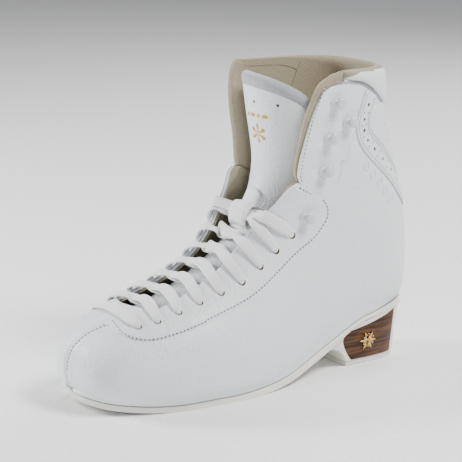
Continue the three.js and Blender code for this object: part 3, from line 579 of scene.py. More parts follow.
def merge(name, meshes, sharp=50):
    """One object from several (points, faces) lists."""
    points, faces, start = [], [], 0
    for some, these in meshes:
        points.append(some)
        faces += [[start + k for k in face] for face in these]
        start += len(some)
    return mesh_object(name, np.concatenate(points), faces, sharp)


def bead(length, width, height, rows=5, sides=8):
    """Points and faces of a small rounded stitch along X."""
    t = np.linspace(-1, 1, rows + 2)[1:-1]
    fat = (1 - np.abs(t) ** 3) ** 0.5
    rings = [np.column_stack([np.full(sides, x * length / 2), f * circle(sides) * (width / 2, height / 2)])
             for x, f in zip(t, fat)]
    points = np.concatenate([*rings, [[-length / 2, 0, 0], [length / 2, 0, 0]]])
    low, rim = rows * sides, (rows - 1) * sides
    faces = [face[::-1] for face in walls(rows, sides)]
    for k in range(sides):
        faces += [[low, k, (k + 1) % sides], [low + 1, rim + (k + 1) % sides, rim + k]]
    return points, faces


def spun(points, turn):
    """Points turned about Z."""
    c, s = math.cos(turn), math.sin(turn)
    return points @ np.array([[c, s, 0], [-s, c, 0], [0, 0, 1]])


def resample(points, pitch):
    """The middles of equal steps of about a pitch along a line."""
    run = np.concatenate([[0], np.cumsum(np.linalg.norm(np.diff(points, axis=0), axis=1))])
    count = max(int(run[-1] / pitch), 2)
    at = (np.arange(count) + 0.5) * run[-1] / count
    return np.stack([np.interp(at, run, points[:, k]) for k in range(points.shape[1])], -1)


def beads(name, points, normals, pitch, size, turn=0.0):
    """Stitches along a line of points on a surface."""
    both = resample(np.concatenate([points, normals], 1), pitch)
    centre, up = both[:, :3], unit(both[:, 3:])
    forward = unit(np.gradient(centre, axis=0))
    side = unit(np.cross(up, forward))
    forward, side = (forward * math.cos(turn) + side * math.sin(turn),
                     side * math.cos(turn) - forward * math.sin(turn))
    local, faces = bead(*size)
    meshes = [(c + local @ np.stack(axes), faces) for c, *axes in zip(centre, forward, side, up)]
    return merge(name, meshes, sharp=0)


def applied(obj):
    """The object with its modifiers made real."""
    bpy.context.view_layer.update()
    ready = obj.evaluated_get(bpy.context.evaluated_depsgraph_get())
    mesh = bpy.data.meshes.new_from_object(ready)
    obj.modifiers.clear()
    obj.data = mesh
    return obj


def punch(obj, holes, sharp=40, sides=20):
    """Cuts round holes, each a (4x4, radius, depth), right through a piece."""
    faces = [list(range(sides))[::-1], list(range(sides, 2 * sides)), *walls(2, sides)]
    meshes = []
    for matrix, radius, depth in holes:
        ends = [np.column_stack([circle(sides) * radius, np.full(sides, z)]) for z in (-depth, depth)]
        meshes.append((placed(np.concatenate(ends), matrix), faces))
    cutter = merge("hole_cutter", meshes)
    cut = obj.modifiers.new("holes", "BOOLEAN")
    cut.operation = "DIFFERENCE"
    cut.solver = "EXACT"
    cut.object = cutter
    applied(obj)
    bpy.data.objects.remove(cutter)
    smoothed(obj.data, sharp)
    return obj


def finer(name, node, bevel, sharp=32):
    """A copy of a CAD node with its edges rounded."""
    source = frame["nodes"][node].data
    work = bmesh.new()
    work.from_mesh(source)
    bmesh.ops.remove_doubles(work, verts=work.verts, dist=2e-6)
    bmesh.ops.dissolve_limit(work, angle_limit=math.radians(0.6), verts=work.verts, edges=work.edges)
    mesh = bpy.data.meshes.new(name)
    work.to_mesh(mesh)
    work.free()
    obj = linked(name, mesh)
    round_off = obj.modifiers.new("edges", "BEVEL")
    round_off.width = bevel * MM
    round_off.segments = 3
    round_off.limit_method = "ANGLE"
    round_off.angle_limit = math.radians(sharp)
    round_off.harden_normals = False
    applied(obj)
    smoothed(obj.data, sharp)
    return obj


# ------------------------------------------------------------------ materials
class Finish:
    """A material under construction."""

    def __init__(self, name, colour, rough, metallic=0.0, coat=0.0, sheen=0.0):
        self.material = bpy.data.materials.new(name)
        self.material.use_nodes = True
        self.tree = self.material.node_tree
        self.shader = self.tree.nodes["Principled BSDF"]
        self.shader.inputs["Base Color"].default_value = (*colour, 1)
        self.shader.inputs["Roughness"].default_value = rough
        self.shader.inputs["Metallic"].default_value = metallic
        self.shader.inputs["Coat Weight"].default_value = coat
        self.shader.inputs["Coat Roughness"].default_value = 0.25
        self.shader.inputs["Sheen Weight"].default_value = sheen
        self.material.diffuse_color = (*colour, 1)
        self.relief = None

    def node(self, kind, **values):
        made = self.tree.nodes.new(kind)
        for key, value in values.items():
            if key in made.inputs:
                made.inputs[key].default_value = value
            else:
                setattr(made, key, value)
        return made

    def link(self, source, target):
        self.tree.links.new(source, target)

    def place(self, scale=(1, 1, 1), uv=False):
        where = self.node("ShaderNodeUVMap", uv_map="weave") if uv else self.node("ShaderNodeTexCoord")
        mapping = self.node("ShaderNodeMapping")
        mapping.inputs["Scale"].default_value = scale
        self.link(where.outputs["UV" if uv else "Object"], mapping.inputs["Vector"])
        return mapping.outputs["Vector"]

    def noise(self, scale, detail=3, stretch=(1, 1, 1), rough=0.55, twist=0.0):
        made = self.node("ShaderNodeTexNoise", Scale=scale, Detail=detail, Roughness=rough, Distortion=twist)
        self.link(self.place(stretch), made.inputs["Vector"])
        return made.outputs["Fac"]

    def cells(self, scale):
        made = self.node("ShaderNodeTexVoronoi", Scale=scale)
        made.feature = "SMOOTH_F1"
        self.link(self.place(), made.inputs["Vector"])
        return made.outputs["Distance"]

    def tint(self, value, stops):
        """Colours by a ramp of (place, colour) stops."""
        made = self.node("ShaderNodeValToRGB")
        elements = made.color_ramp.elements
        while len(elements) < len(stops):
            elements.new(0.5)
        for element, (at, colour) in zip(elements, stops):
            element.position = at
            element.color = (*colour, 1)
        self.link(value, made.inputs["Fac"])
        self.link(made.outputs["Color"], self.shader.inputs["Base Color"])

    def rough_between(self, value, low, high):
        made = self.node("ShaderNodeMapRange")
        made.inputs["To Min"].default_value = low
        made.inputs["To Max"].default_value = high
        self.link(value, made.inputs["Value"])
        self.link(made.outputs["Result"], self.shader.inputs["Roughness"])

    def bump(self, value, depth, strength=1.0):
        """Adds relief of a depth in millimetres."""
        made = self.node("ShaderNodeBump", Strength=strength, Distance=depth * MM)
        self.link(value, made.inputs["Height"])
        if self.relief:
            self.link(self.relief, made.inputs["Normal"])
        self.relief = made.outputs["Normal"]
        self.link(self.relief, self.shader.inputs["Normal"])


def shade(colour, factor):
    return tuple(min(c * factor, 1.0) for c in colour)


def leather_finish(name, colour, grain, gloss=0.42):
    made = Finish(name, colour, gloss, coat=0.06)
    made.tint(made.noise(38, 3), [(0.3, shade(colour, 0.965)), (0.7, colour)])
    made.rough_between(made.noise(160, 4), gloss - 0.06, gloss + 0.1)
    made.bump(made.noise(75, 2), 0.5, 0.4)
    made.bump(made.noise(520 / grain, 2), 0.5, 0.7)
    made.bump(made.cells(1000 / grain), 0.4, 0.9)
    made.bump(made.noise(1900 / grain, 3), 0.12, 0.7)
    return made.material


def fleece_finish(name, colour, nap=1.0):
    made = Finish(name, colour, 0.95, sheen=0.35)
    made.shader.inputs["Sheen Roughness"].default_value = 0.5
    made.tint(made.noise(900, 5), [(0.25, shade(colour, 0.8)), (0.72, shade(colour, 1.08))])
    made.bump(made.noise(120, 3), 0.6 * nap, 0.5)
    made.bump(made.noise(1600, 5), 0.35 * nap, 0.9)
    return made.material


def lace_finish(name, colour):
    made = Finish(name, colour, 0.78, sheen=0.25)
    ribs = made.node("ShaderNodeTexWave", Scale=1.6)
    ribs.wave_type, ribs.bands_direction = "BANDS", "X"
    made.link(made.place(uv=True), ribs.inputs["Vector"])
    picks = made.node("ShaderNodeTexWave", Scale=4.6, Distortion=0.6)
    picks.wave_type, picks.bands_direction = "BANDS", "Y"
    made.link(made.place(uv=True), picks.inputs["Vector"])
    # The rib wave that sets the bump also darkens its low troughs: painted shade in the weave.
    made.tint(ribs.outputs["Fac"], [(0.0, shade(colour, 0.86)), (0.45, colour)])
    made.bump(ribs.outputs["Fac"], 0.3, 0.8)
    made.bump(picks.outputs["Fac"], 0.16, 0.7)
    made.bump(made.noise(2400, 3), 0.08, 0.6)
    return made.material


def wood_finish(name, dark, light):
    made = Finish(name, dark, 0.45)
    made.shader.inputs["Specular IOR Level"].default_value = 0.2
    stripes = made.noise(1, 5, (26, 20, 420), 0.62, 0.5)
    made.tint(stripes, [(0.36, dark), (0.5, mix(np.array(dark), np.array(light), 0.45)), (0.64, light)])
    made.rough_between(made.noise(1, 4, (60, 40, 900)), 0.38, 0.55)
    made.bump(made.noise(1, 4, (90, 60, 1500)), 0.05, 0.6)
    return made.material


def sole_finish(name, colour):
    made = Finish(name, colour, 0.33, coat=0.25)
    made.tint(made.noise(60, 4), [(0.3, shade(colour, 0.94)), (0.7, shade(colour, 1.02))])
    made.rough_between(made.noise(420, 4), 0.26, 0.42)
    made.bump(made.noise(500, 3, (1, 0.25, 3)), 0.05, 0.5)
    return made.material


def metal_finish(name, colour, rough):
    made = Finish(name, colour, rough, metallic=1.0)
    made.tint(made.noise(400, 3), [(0.3, shade(colour, 0.85)), (0.7, colour)])
    made.rough_between(made.noise(1200, 3), rough - 0.05, rough + 0.1)
    made.bump(made.noise(900, 2), 0.03, 0.5)
    return made.material


def plain_finish(name, colour, rough, coat=0.0, depth=0.05):
    made = Finish(name, colour, rough, coat=coat)
    made.tint(made.noise(300, 3), [(0.3, shade(colour, 0.9)), (0.7, shade(colour, 1.03))])
    made.rough_between(made.noise(700, 3), max(rough - 0.06, 0.05), rough + 0.1)
    made.bump(made.noise(1300, 3), depth, 0.6)
    return made.material


finishes = {}


def dress(obj, finish, slot, body="root"):
    """Gives an object its material and slot, and the body it rides unless that is None."""
    obj.data.materials.clear()
    obj.data.materials.append(finishes[finish])
    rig.slot(obj, slot)
    if body:
        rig.ride(obj, body)
    return obj


def repaint(node, finish):
    """Gives a CAD node that shows as it is one of the finishes."""
    obj = frame["nodes"][node]
    obj.material_slots[0].link = "OBJECT"
    obj.material_slots[0].material = finishes[finish]


def sizes():
    return bpy.context.scene.boot_sizes


def colours():
    return bpy.context.scene.boot_colours


# ------------------------------------------------------------------ properties
def length_property(name, description, value, low, high):
    return bpy.props.FloatProperty(name=name, description=description, default=value, min=low, max=high,
                                   unit="LENGTH", precision=5)


class BootSizes(bpy.types.PropertyGroup):
    """Sizes a maker would change, in metres."""

    grain: length_property("Leather grain", "Size of one pebble of the grain", 0.0013, 0.0003, 0.003)
    lace_width: length_property("Lace width", "Width of the flat lace", 0.0084, 0.003, 0.011)
    lace_thickness: length_property("Lace thickness", "Thickness of the flat lace", 0.0017, 0.0008, 0.003)
    stitch: length_property("Stitch", "Length from one stitch to the next", 0.0026, 0.0015, 0.006)
    collar_loft: length_property("Collar loft", "How far the collar pad stands out", 0.0026, 0.0, 0.006)
    eyelet: length_property("Eyelet", "Radius of an eyelet hole", 0.0024, 0.0015, 0.003)


def colour_property(name, description, value):
    return bpy.props.FloatVectorProperty(name=name, description=description, default=value, size=3,
                                         subtype="COLOR", min=0.0, max=1.0)


class BootColours(bpy.types.PropertyGroup):
    """Colours of the finishes."""

    leather: colour_property("Leather", "Outer leather", (0.74, 0.765, 0.79))
    lining: colour_property("Lining", "Microfibre and fleece lining", (0.32, 0.275, 0.18))
    felt: colour_property("Felt", "Felt behind the tongue", (0.37, 0.375, 0.39))
    lace: colour_property("Lace", "Woven lace", (0.86, 0.86, 0.87))
    sole: colour_property("Sole", "Lacquered sole and heel", (0.78, 0.76, 0.69))
    wood_dark: colour_property("Dark wood", "Dark stripes of the inlay", (0.012, 0.005, 0.0025))
    wood_light: colour_property("Light wood", "Light stripes of the inlay", (0.125, 0.055, 0.022))
    gold: colour_property("Gold", "Plated fittings and foil", (0.66, 0.4, 0.1))


# ------------------------------------------------------------------ operators
class BOOT_OT_stage(bpy.types.Operator):
    """Camera, pale floor and soft studio light"""

    bl_idname = "boot.stage"
    bl_label = "Studio"

    def execute(self, context):
        azimuth, elevation, roll = map(math.radians, (53, 13.5, 1))
        distance = 1.25
        right = Vector((math.cos(azimuth), math.sin(azimuth), 0))
        back = Vector((math.sin(azimuth) * math.cos(elevation), -math.cos(azimuth) * math.cos(elevation),
                       math.sin(elevation)))
        up = back.cross(right)
        aim = right * -0.00848 + up * 0.0958
        camera = linked("camera", bpy.data.cameras.new("camera"))
        camera.data.lens = 145.6
        camera.data.sensor_width = 36
        camera.data.clip_start = 0.05
        x_axis = right * math.cos(roll) + up * math.sin(roll)
        y_axis = up * math.cos(roll) - right * math.sin(roll)
        turn = Matrix((x_axis, y_axis, back)).transposed().to_4x4()
        camera.matrix_world = Matrix.Translation(aim + back * distance) @ turn
        context.scene.camera = camera

        floor = bpy.data.meshes.new("floor")
        floor.from_pydata([(-6, -6, 0), (6, -6, 0), (6, 6, 0), (-6, 6, 0)], [], [(0, 1, 2, 3)])
        plane = linked("floor", floor)
        plane.data.materials.append(finishes["floor"])
        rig.stage(plane)

        world = bpy.data.worlds.new("studio")
        context.scene.world = world
        world.use_nodes = True
        background = world.node_tree.nodes["Background"].inputs
        background["Color"].default_value = (0.95, 0.97, 1, 1)
        background["Strength"].default_value = 0.28
        lamps = (
            ("key", (0.75, 0.45, 1.3), 33.0, 0.5, (1, 0.995, 0.98)),
            ("strip", (-0.85, -0.8, 0.55), 24.0, 0.4, (0.98, 0.99, 1)),
            ("fill", (1.2, -0.9, 0.5), 4.0, 0.9, (0.94, 0.97, 1)),
            ("rear", (-0.5, 1.1, 1.0), 12.0, 0.9, (1, 1, 1)),
        )
        for name, place, power, size, colour in lamps:
            lamp = bpy.data.lights.new(name, "AREA")
            lamp.energy, lamp.size, lamp.color = power, size, colour
            holder = linked(name, lamp)
            holder.location = place
            holder.rotation_mode = "QUATERNION"
            holder.rotation_quaternion = (Vector((0, 0, 0.1)) - Vector(place)).to_track_quat("-Z", "Y")
        return {"FINISHED"}


class BOOT_OT_finishes(bpy.types.Operator):
    """Every material of the boot"""

    bl_idname = "boot.finishes"
    bl_label = "Finishes"

    def execute(self, context):
        tone = colours()
        grain = sizes().grain / MM
        leather = tuple(tone.leather)
        finishes.update({
            "leather": leather_finish("white_grained_leather", leather, grain),
            "tongue leather": leather_finish("tongue_leather", shade(leather, 0.985), grain, 0.48),
            "lining": leather_finish("khaki_microfibre", tuple(tone.lining), 0.5, 0.8),
            "fleece": fleece_finish("khaki_fleece", tuple(tone.lining)),
            "felt": fleece_finish("grey_felt", tuple(tone.felt), 1.2),
            "lace": lace_finish("woven_lace", tuple(tone.lace)),
            "webbing": plain_finish("keeper_webbing", tuple(tone.lace), 0.7, depth=0.15),
            "thread": plain_finish("white_thread", (0.66, 0.67, 0.69), 0.75, depth=0.08),
            # Near black beads between the stitches: painted shade of the needle holes.
            "needle hole shade": plain_finish("painted_needle_hole_shade", (0.07, 0.07, 0.08), 0.9),
            "raw edge": plain_finish("raw_leather_edge", (0.2, 0.125, 0.06), 0.9, depth=0.1),
            # Near black: painted shade in holes, behind the band's holes and as discs on the Achilles panel and
            # tongue.
            "painted hole shade": plain_finish("painted_hole_shade", (0.06, 0.06, 0.065), 0.9),
            "enamel": plain_finish("white_enamel", (0.6, 0.63, 0.67), 0.2, 0.8, 0.02),
            "cord": plain_finish("grey_edge_cord", (0.33, 0.34, 0.36), 0.75, depth=0.1),
            "sole": sole_finish("lacquered_sole", tuple(tone.sole)),
            "rubber": plain_finish("heel_rubber", shade(tuple(tone.sole), 0.94), 0.5, depth=0.08),
            "wood": wood_finish("striped_wood", tuple(tone.wood_dark), tuple(tone.wood_light)),
            "gold": metal_finish("gold_plate", tuple(tone.gold), 0.24),
            "foil": metal_finish("gold_foil", shade(tuple(tone.gold), 0.8), 0.42),
            "steel": metal_finish("spring_steel", (0.5, 0.51, 0.52), 0.35),
            "board": plain_finish("fibre_board", (0.3, 0.2, 0.11), 0.9, depth=0.2),
            "tip": plain_finish("lace_tip", (0.8, 0.8, 0.8), 0.2, 0.3),
            "stone": plain_finish("cut_glass", (0.55, 0.68, 0.85), 0.05, 0.8, 0.01),
            "floor": plain_finish("studio_floor", (0.93, 0.93, 0.93), 0.75, depth=0.01),
        })
        return {"FINISHED"}


def behind_fold(v):
    return shifted(v, fold(v), STRIP)


def fold_points(side):
    """Where the leather starts and stops bending at an ankle fold, in metres."""
    v = 13.4
    a = fold(v)
    start = skin(v, side * shifted(v, a, STRIP)) * MM
    end = skin(v, side * shifted(v, a, -4.0)) * MM
    run = np.array([0, FOLD_HIGH[0] - FOLD_LOW[0], FOLD_HIGH[1] - FOLD_LOW[1]])
    run = run / np.linalg.norm(run)
    step = end - start
    step = step - run * (step @ run)
    step[0] = 0
    return tuple(start), tuple(start + step)


def hinge(obj, side):
    name = "lateral" if side > 0 else "medial"
    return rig.blend(obj, "root", f"{name}_flap", *fold_points(side))


def lozenges(side):
    """A row of outlined lozenges pressed up out of the leather beside the backstay."""
    spots = [(mix(13.0, 12.22, k / 4), mix(0.565, 0.672, k / 4)) for k in range(5)]
    line = (skin_base(*spots[-1]) - skin_base(*spots[0])) * (side, 1, 1)
    meshes = []
    for station, angle in spots:
        matrix = skin_seat(station, side * angle, 0.02)
        normal = matrix[:3, 2]
        run = unit(line - normal * (line @ normal))
        cross = np.cross(normal, run)
        corners = [run * 2.5, cross * 3.6, run * -2.5, cross * -3.6]
        for k in range(4):
            p, q = corners[k], corners[(k + 1) % 4]
            points, faces = bead(np.linalg.norm(q - p) + 0.5, 0.9, 1.3, 5, 8)
            f = unit(q - p)
            axes = np.stack([f, np.cross(normal, f), normal])
            meshes.append((matrix[:3, 3] + (p + q) / 2 + points @ axes, faces))
    return meshes


def eyelet_holes(side):
    return [(skin_seat(v, side * a), sizes().eyelet / MM, 9.0) for v, a in EYELETS]


def eyelet_edges(side, sides=24):
    """The cut edge of the leather as a thin ring in each eyelet hole."""
    outer, inner = sizes().eyelet / MM - 0.02, sizes().eyelet / MM - 0.3
    wall = ((outer, -2.0), (outer, 0.85), (inner, 0.95), (inner, -2.0))
    ring = np.concatenate([np.column_stack([circle(sides) * r, np.full(sides, z)]) for r, z in wall])
    return [(placed(ring, skin_seat(v, side * a)), walls(len(wall), sides, True)) for v, a in EYELETS]


def below_collar(a):
    return collar_seam(a) - ROOM


class BOOT_OT_quarters(bpy.types.Operator):
    """Outer leather of both sides, stitched facings and the raw edges of the eyelet holes"""

    bl_idname = "boot.quarters"
    bl_label = "Quarters and facings"

    def execute(self, context):
        for name, side in SIDES:
            def front(v):
                return np.where(v < VAMP, side * toe_seam(v) + 0.0008, throat_edge(v))

            lower = Panel(side, (0, NOTCH), front, lasted_edge, (150, 74), 1.0)
            tuck = smooth((lower.a - feather(lower.v) + 0.1) / 0.1) * sole_drop(lower.v)
            seam_dip = -0.6 * np.exp(-(lower.near / 0.9) ** 2) * (lower.v < 3.9)
            puff = 0.45 * np.exp(-((lower.near - 2.6) / 1.9) ** 2) * (lower.v < 3.9)
            edge = np.where(lower.v < VAMP, lower.far, np.minimum(lower.near, lower.far))
            quarter = lower.build(f"quarter_leather_{name}", tuck + seam_dip + puff, -LEATHER, 1.0, edge)
            punch(quarter, eyelet_holes(side), 45)
            dress(quarter, "leather", "white_leather")
            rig.replaces(quarter, f"quarter_{name}")
            upper = Panel(side, (NOTCH, 15.44), behind_fold, back_edge, (80, 60), 1.0,
                          top=below_collar)
            rise = -0.5 * np.exp(-(upper.above / 1.0) ** 2)
            shaft = upper.build(f"shaft_leather_{name}", rise, -LEATHER, 1.0, np.full(upper.a.shape, 9.0))
            dress(shaft, "leather", "white_leather")
            points, faces = bead(8.4, 1.7, 5.0, 7, 12)
            tip = mesh_object(f"toe_tip_{name}", points + (-7.45, -130.35, 14.0), faces, 0)
            dress(tip, "leather", "white_leather")
            dress(merge(f"embossed_lozenges_{name}", lozenges(side), 0), "leather", "white_leather")

            face = Panel(side, (3.3, 11.1), throat_edge, facing_edge, (150, 26), 1.0)
            limit = np.minimum(face.far, np.minimum(face.above, face.below))
            trim = np.where(face.v < VAMP, limit, np.minimum(limit, face.near))
            groove = np.exp(-((limit - 2.2) / 0.6) ** 2)
            height = 0.16 + 0.85 * smooth(limit / 3.2) - 0.38 * groove
            facing = face.build(f"facing_leather_{name}", height, 0.06 + 0 * height, 0.7, trim)
            punch(facing, eyelet_holes(side), 45)
            dress(facing, "leather", "white_leather")
            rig.replaces(facing, f"facing_{name}")
            dress(merge(f"eyelet_edges_{name}", eyelet_edges(side)), "raw edge", "fibre_board")
        return {"FINISHED"}


class BOOT_OT_flaps(bpy.types.Operator):
    """Ankle flaps with their thick lined edges"""

    bl_idname = "boot.flaps"
    bl_label = "Ankle flaps"

    def execute(self, context):
        for name, side in SIDES:
            sheet = Panel(side, (NOTCH, RIM), flap_edge[side], behind_fold, (70, 34), 1.2,
                          top=below_collar)
            groove = -0.3 * np.exp(-((sheet.near - 2.4) / 0.6) ** 2) - 0.5 * np.exp(-(sheet.above / 1.0) ** 2)
            leather = sheet.build(f"flap_leather_{name}", groove, -LEATHER, 1.0, sheet.near)
            dress(leather, "leather", "white_leather", None)
            hinge(leather, side)
            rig.replaces(leather, f"ankle_flap_{name}")

            def ahead(v):
                return shifted(v, flap_edge[side](v), -1.7)

            back = Panel(side, (NOTCH + 0.03, RIM - 0.02), ahead, behind_fold, (60, 30), 2.6)
            near = np.minimum(back.near, np.minimum(back.below, back.above))
            outer = -2.1 + 1.0 * np.exp(-(near / 1.6) ** 2)
            lining = back.build(f"flap_lining_{name}_fleece", outer, -WALL + 0.9, 2.6,
                                np.minimum(near, back.far + 99))
            dress(lining, "fleece", "cream_lining", None)
            hinge(lining, side)
            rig.replaces(lining, f"flap_lining_{name}")
        return {"FINISHED"}


class BOOT_OT_collar(bpy.types.Operator):
    """Padded collar round the back and its two ends on the flaps"""

    bl_idname = "boot.collar"
    bl_label = "Collar"

    def execute(self, context):
        loft = sizes().collar_loft / MM
        start = float(behind_fold(RIM))

        def pad(name, first, last, columns, side=1):
            across = mix(first, last, np.linspace(0, 1, columns))
            folded = np.where(across > 1, 2 - across, across)
            base = collar_seam(folded)
            taper = 1.0 if last > 1 else bullnose((across - first) * 110, 5.0)
            rows_out, rows_in = [], []
            for s in np.linspace(0, 1, COLLAR_ROWS):
                crown = math.sin(math.pi * min(0.06 + s * 0.97, 1.0)) ** 0.5
                roll = bullnose((1 - s) * 16, 3.4) * taper
                v = mix(base, RIM, s)
                half = WALL / 2
                foot = mix(0.94, 1, smooth(s / 0.12))
                rows_out.append(skin(v, side * across, -half + (half + loft * crown) * roll * foot))
                rows_in.append(skin(v, side * across, -half - (half - 0.6) * roll))
            return shell(name, np.array(rows_out), np.array(rows_in))

        def spots(polygon, columns):
            """Rows, columns and whether on the outer face, of a polygon's corners."""
            count = COLLAR_ROWS * columns
            return [(k % count // columns, k % columns, k < count) for k in polygon.vertices]

        collar = pad("collar_leather_pad", start, 2 - start, 110)
        dress(collar, "leather", "white_leather")
        collar.data.materials.append(finishes["fleece"])
        for polygon in collar.data.polygons:
            corners = spots(polygon, 110)
            if not any(outer for _, _, outer in corners) or min(corners)[0] >= COLLAR_ROWS - 3:
                polygon.material_index = 1
        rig.replaces(collar, "collar_pad")
        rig.padded(collar, fill=0.8)
        for name, side in SIDES:
            begin = float(flap_edge[side](15.5)) + 0.012
            end = pad(f"collar_end_{name}", begin, start, 64, side)
            dress(end, "fleece", "cream_lining", None)
            end.data.materials.append(finishes["leather"])
            for polygon in end.data.polygons:
                rows, columns, outer = zip(*spots(polygon, 64))
                if all(outer) and max(rows) < 24 * min(1, (min(columns) / 24) ** 0.6):
                    polygon.material_index = 1
            hinge(end, side)
        return {"FINISHED"}


class BOOT_OT_linings(bpy.types.Operator):
    """Lining of both quarters, footbed and the hidden stiffeners"""

    bl_idname = "boot.linings"
    bl_label = "Linings"

    def execute(self, context):
        toe, top = 1.2, 15.3
        for name, side in SIDES:
            def front(v):
                return np.where(v < NOTCH, shifted(v, throat_edge(v), 0.15), behind_fold(v))

            def low_edge(v):
                return np.minimum(feather(v) + 0.04, back_edge(v))

            stations = np.concatenate([np.linspace(toe, NOTCH - 0.03, 90),
                                       np.linspace(NOTCH + 0.03, top, 36)])
            sheet = Panel(side, (toe, top), front, low_edge, (2, 44), 0.8, stations=stations)
            rise = collar_seam(sheet.a) + 0.25
            share = (sheet.v - NOTCH) / (top - NOTCH)
            sheet.v = np.where(share > 0, mix(NOTCH, rise, share), sheet.v)
            depth = 3.55 * padding(sheet.v, sheet.a)
            outer = -(LEATHER + 0.25 + depth * (1 - np.exp(-(sheet.near / 3.0) ** 2)))
            lining = sheet.build(f"lining_{name}_microfibre", outer, -(LEATHER + 1.55 + depth), 0.6,
                                 np.minimum(sheet.near, sheet.far))
            punch(lining, eyelet_holes(side), 45)
            dress(lining, "lining", "cream_lining")
            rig.replaces(lining, f"lining_{name}")
            repaint(f"ankle_foam_{name}", "felt")
        for node in ("toe_puff", "heel_counter", "insole_board"):
            repaint(node, "board")
        repaint("shank", "steel")
        bed = finer("footbed_cover", "footbed", 0.8)
        dress(bed, "lining", "cream_lining")
        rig.replaces(bed, "footbed")
        return {"FINISHED"}


band_outer, band_inner = mirrored(BAND_OUTER), mirrored(BAND_INNER)


def band_point(s, t):
    v0, a0 = band_outer(s)
    v1, a1 = band_inner(s)
    return mix(v0, v1, t), mix(a0, a1, t)


class BOOT_OT_backstay(bpy.types.Operator):
    """Perforated backstay band and Achilles panel"""

    bl_idname = "boot.backstay"
    bl_label = "Backstay"

    def execute(self, context):
        length, width = 230.0, 9.0
        s = crowded(120, length, 1.2)[:, None]
        t = crowded(16, width, 0.9)[None, :]
        v, a = band_point(*np.broadcast_arrays(s, t))
        edge = np.minimum(np.minimum(s, 1 - s) * length, np.minimum(t, 1 - t) * width)
        half = 0.42 * bullnose(edge, 0.8)
        dip = -0.22 * np.exp(-((edge - 1.5) / 0.45) ** 2)
        band = shell("backstay_leather_band", skin(v, a, 0.62 + half + dip), skin(v, a, 0.62 - half))
        holes = []
        for k in range(39):
            place = 0.035 + 0.93 * k / 38
            if k % 2 == 0:
                holes.append((place, 0.5, 1.35 if k % 4 == 0 else 1.1))
            else:
                holes += [(place, 0.34, 0.7), (place, 0.68, 0.7)]
        punch(band, [(skin_seat(*band_point(place, across)), radius, 1.6) for place, across, radius in holes])
        dress(band, "leather", "white_leather")
        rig.replaces(band, "backstay_band")
        # A near black sheet just under the band: painted shade seen through its holes.
        cover, under = skin(v, a, 0.14 + 0.09 * bullnose(edge - 1.6, 1.0)), skin(v, a, 0.1)
        hole_shade_sheet = shell("backstay_painted_hole_shade", cover[4:-4, 6:-6], under[4:-4, 6:-6])
        dress(hole_shade_sheet, "painted hole shade", "fibre_board")

        def panel(s, t):
            """Station and angle of a share s up and t across the Achilles panel."""
            v, a = band_inner(s)
            a = shifted(v, a, 0.5)
            a = mix(a, 2 - a, t)
            return np.minimum(v + 0.03, collar_seam(np.where(a > 1, 2 - a, a)) - 0.03), a

        width = 70.0
        s = (0.03 + 0.46 * crowded(44, 60.0, 0.9))[:, None]
        t = crowded(60, width, 0.9)[None, :]
        s, t = np.broadcast_arrays(s, t)
        v, a = panel(s, t)
        height = 0.75 * bullnose(np.minimum(t, 1 - t) * width, 1.0)
        achilles = shell("achilles_leather_panel", skin(v, a, 0.1 + height), skin(v, a, 0.08))
        dress(achilles, "leather", "white_leather")
        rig.replaces(achilles, "achilles_panel")
        # Flat dark discs on the Achilles panel: painted shade of perforations that are not cut.
        perforation_shade_discs = []
        for row in range(7):
            for k in range(7 - row // 2):
                wide = 2.1 if (row + k) % 2 else 1.4
                points, faces = bead(wide, wide, 0.16, 7, 14)
                spot = panel(0.12 + 0.05 * row, 0.2 + 0.6 * (k + 0.5 * (row % 2)) / 6)
                perforation_shade_discs.append((placed(points + (0, 0, 0.86), skin_seat(*spot)), faces))
        dress(merge("achilles_perforation_shade", perforation_shade_discs, 0), "painted hole shade", "fibre_board")
        return {"FINISHED"}


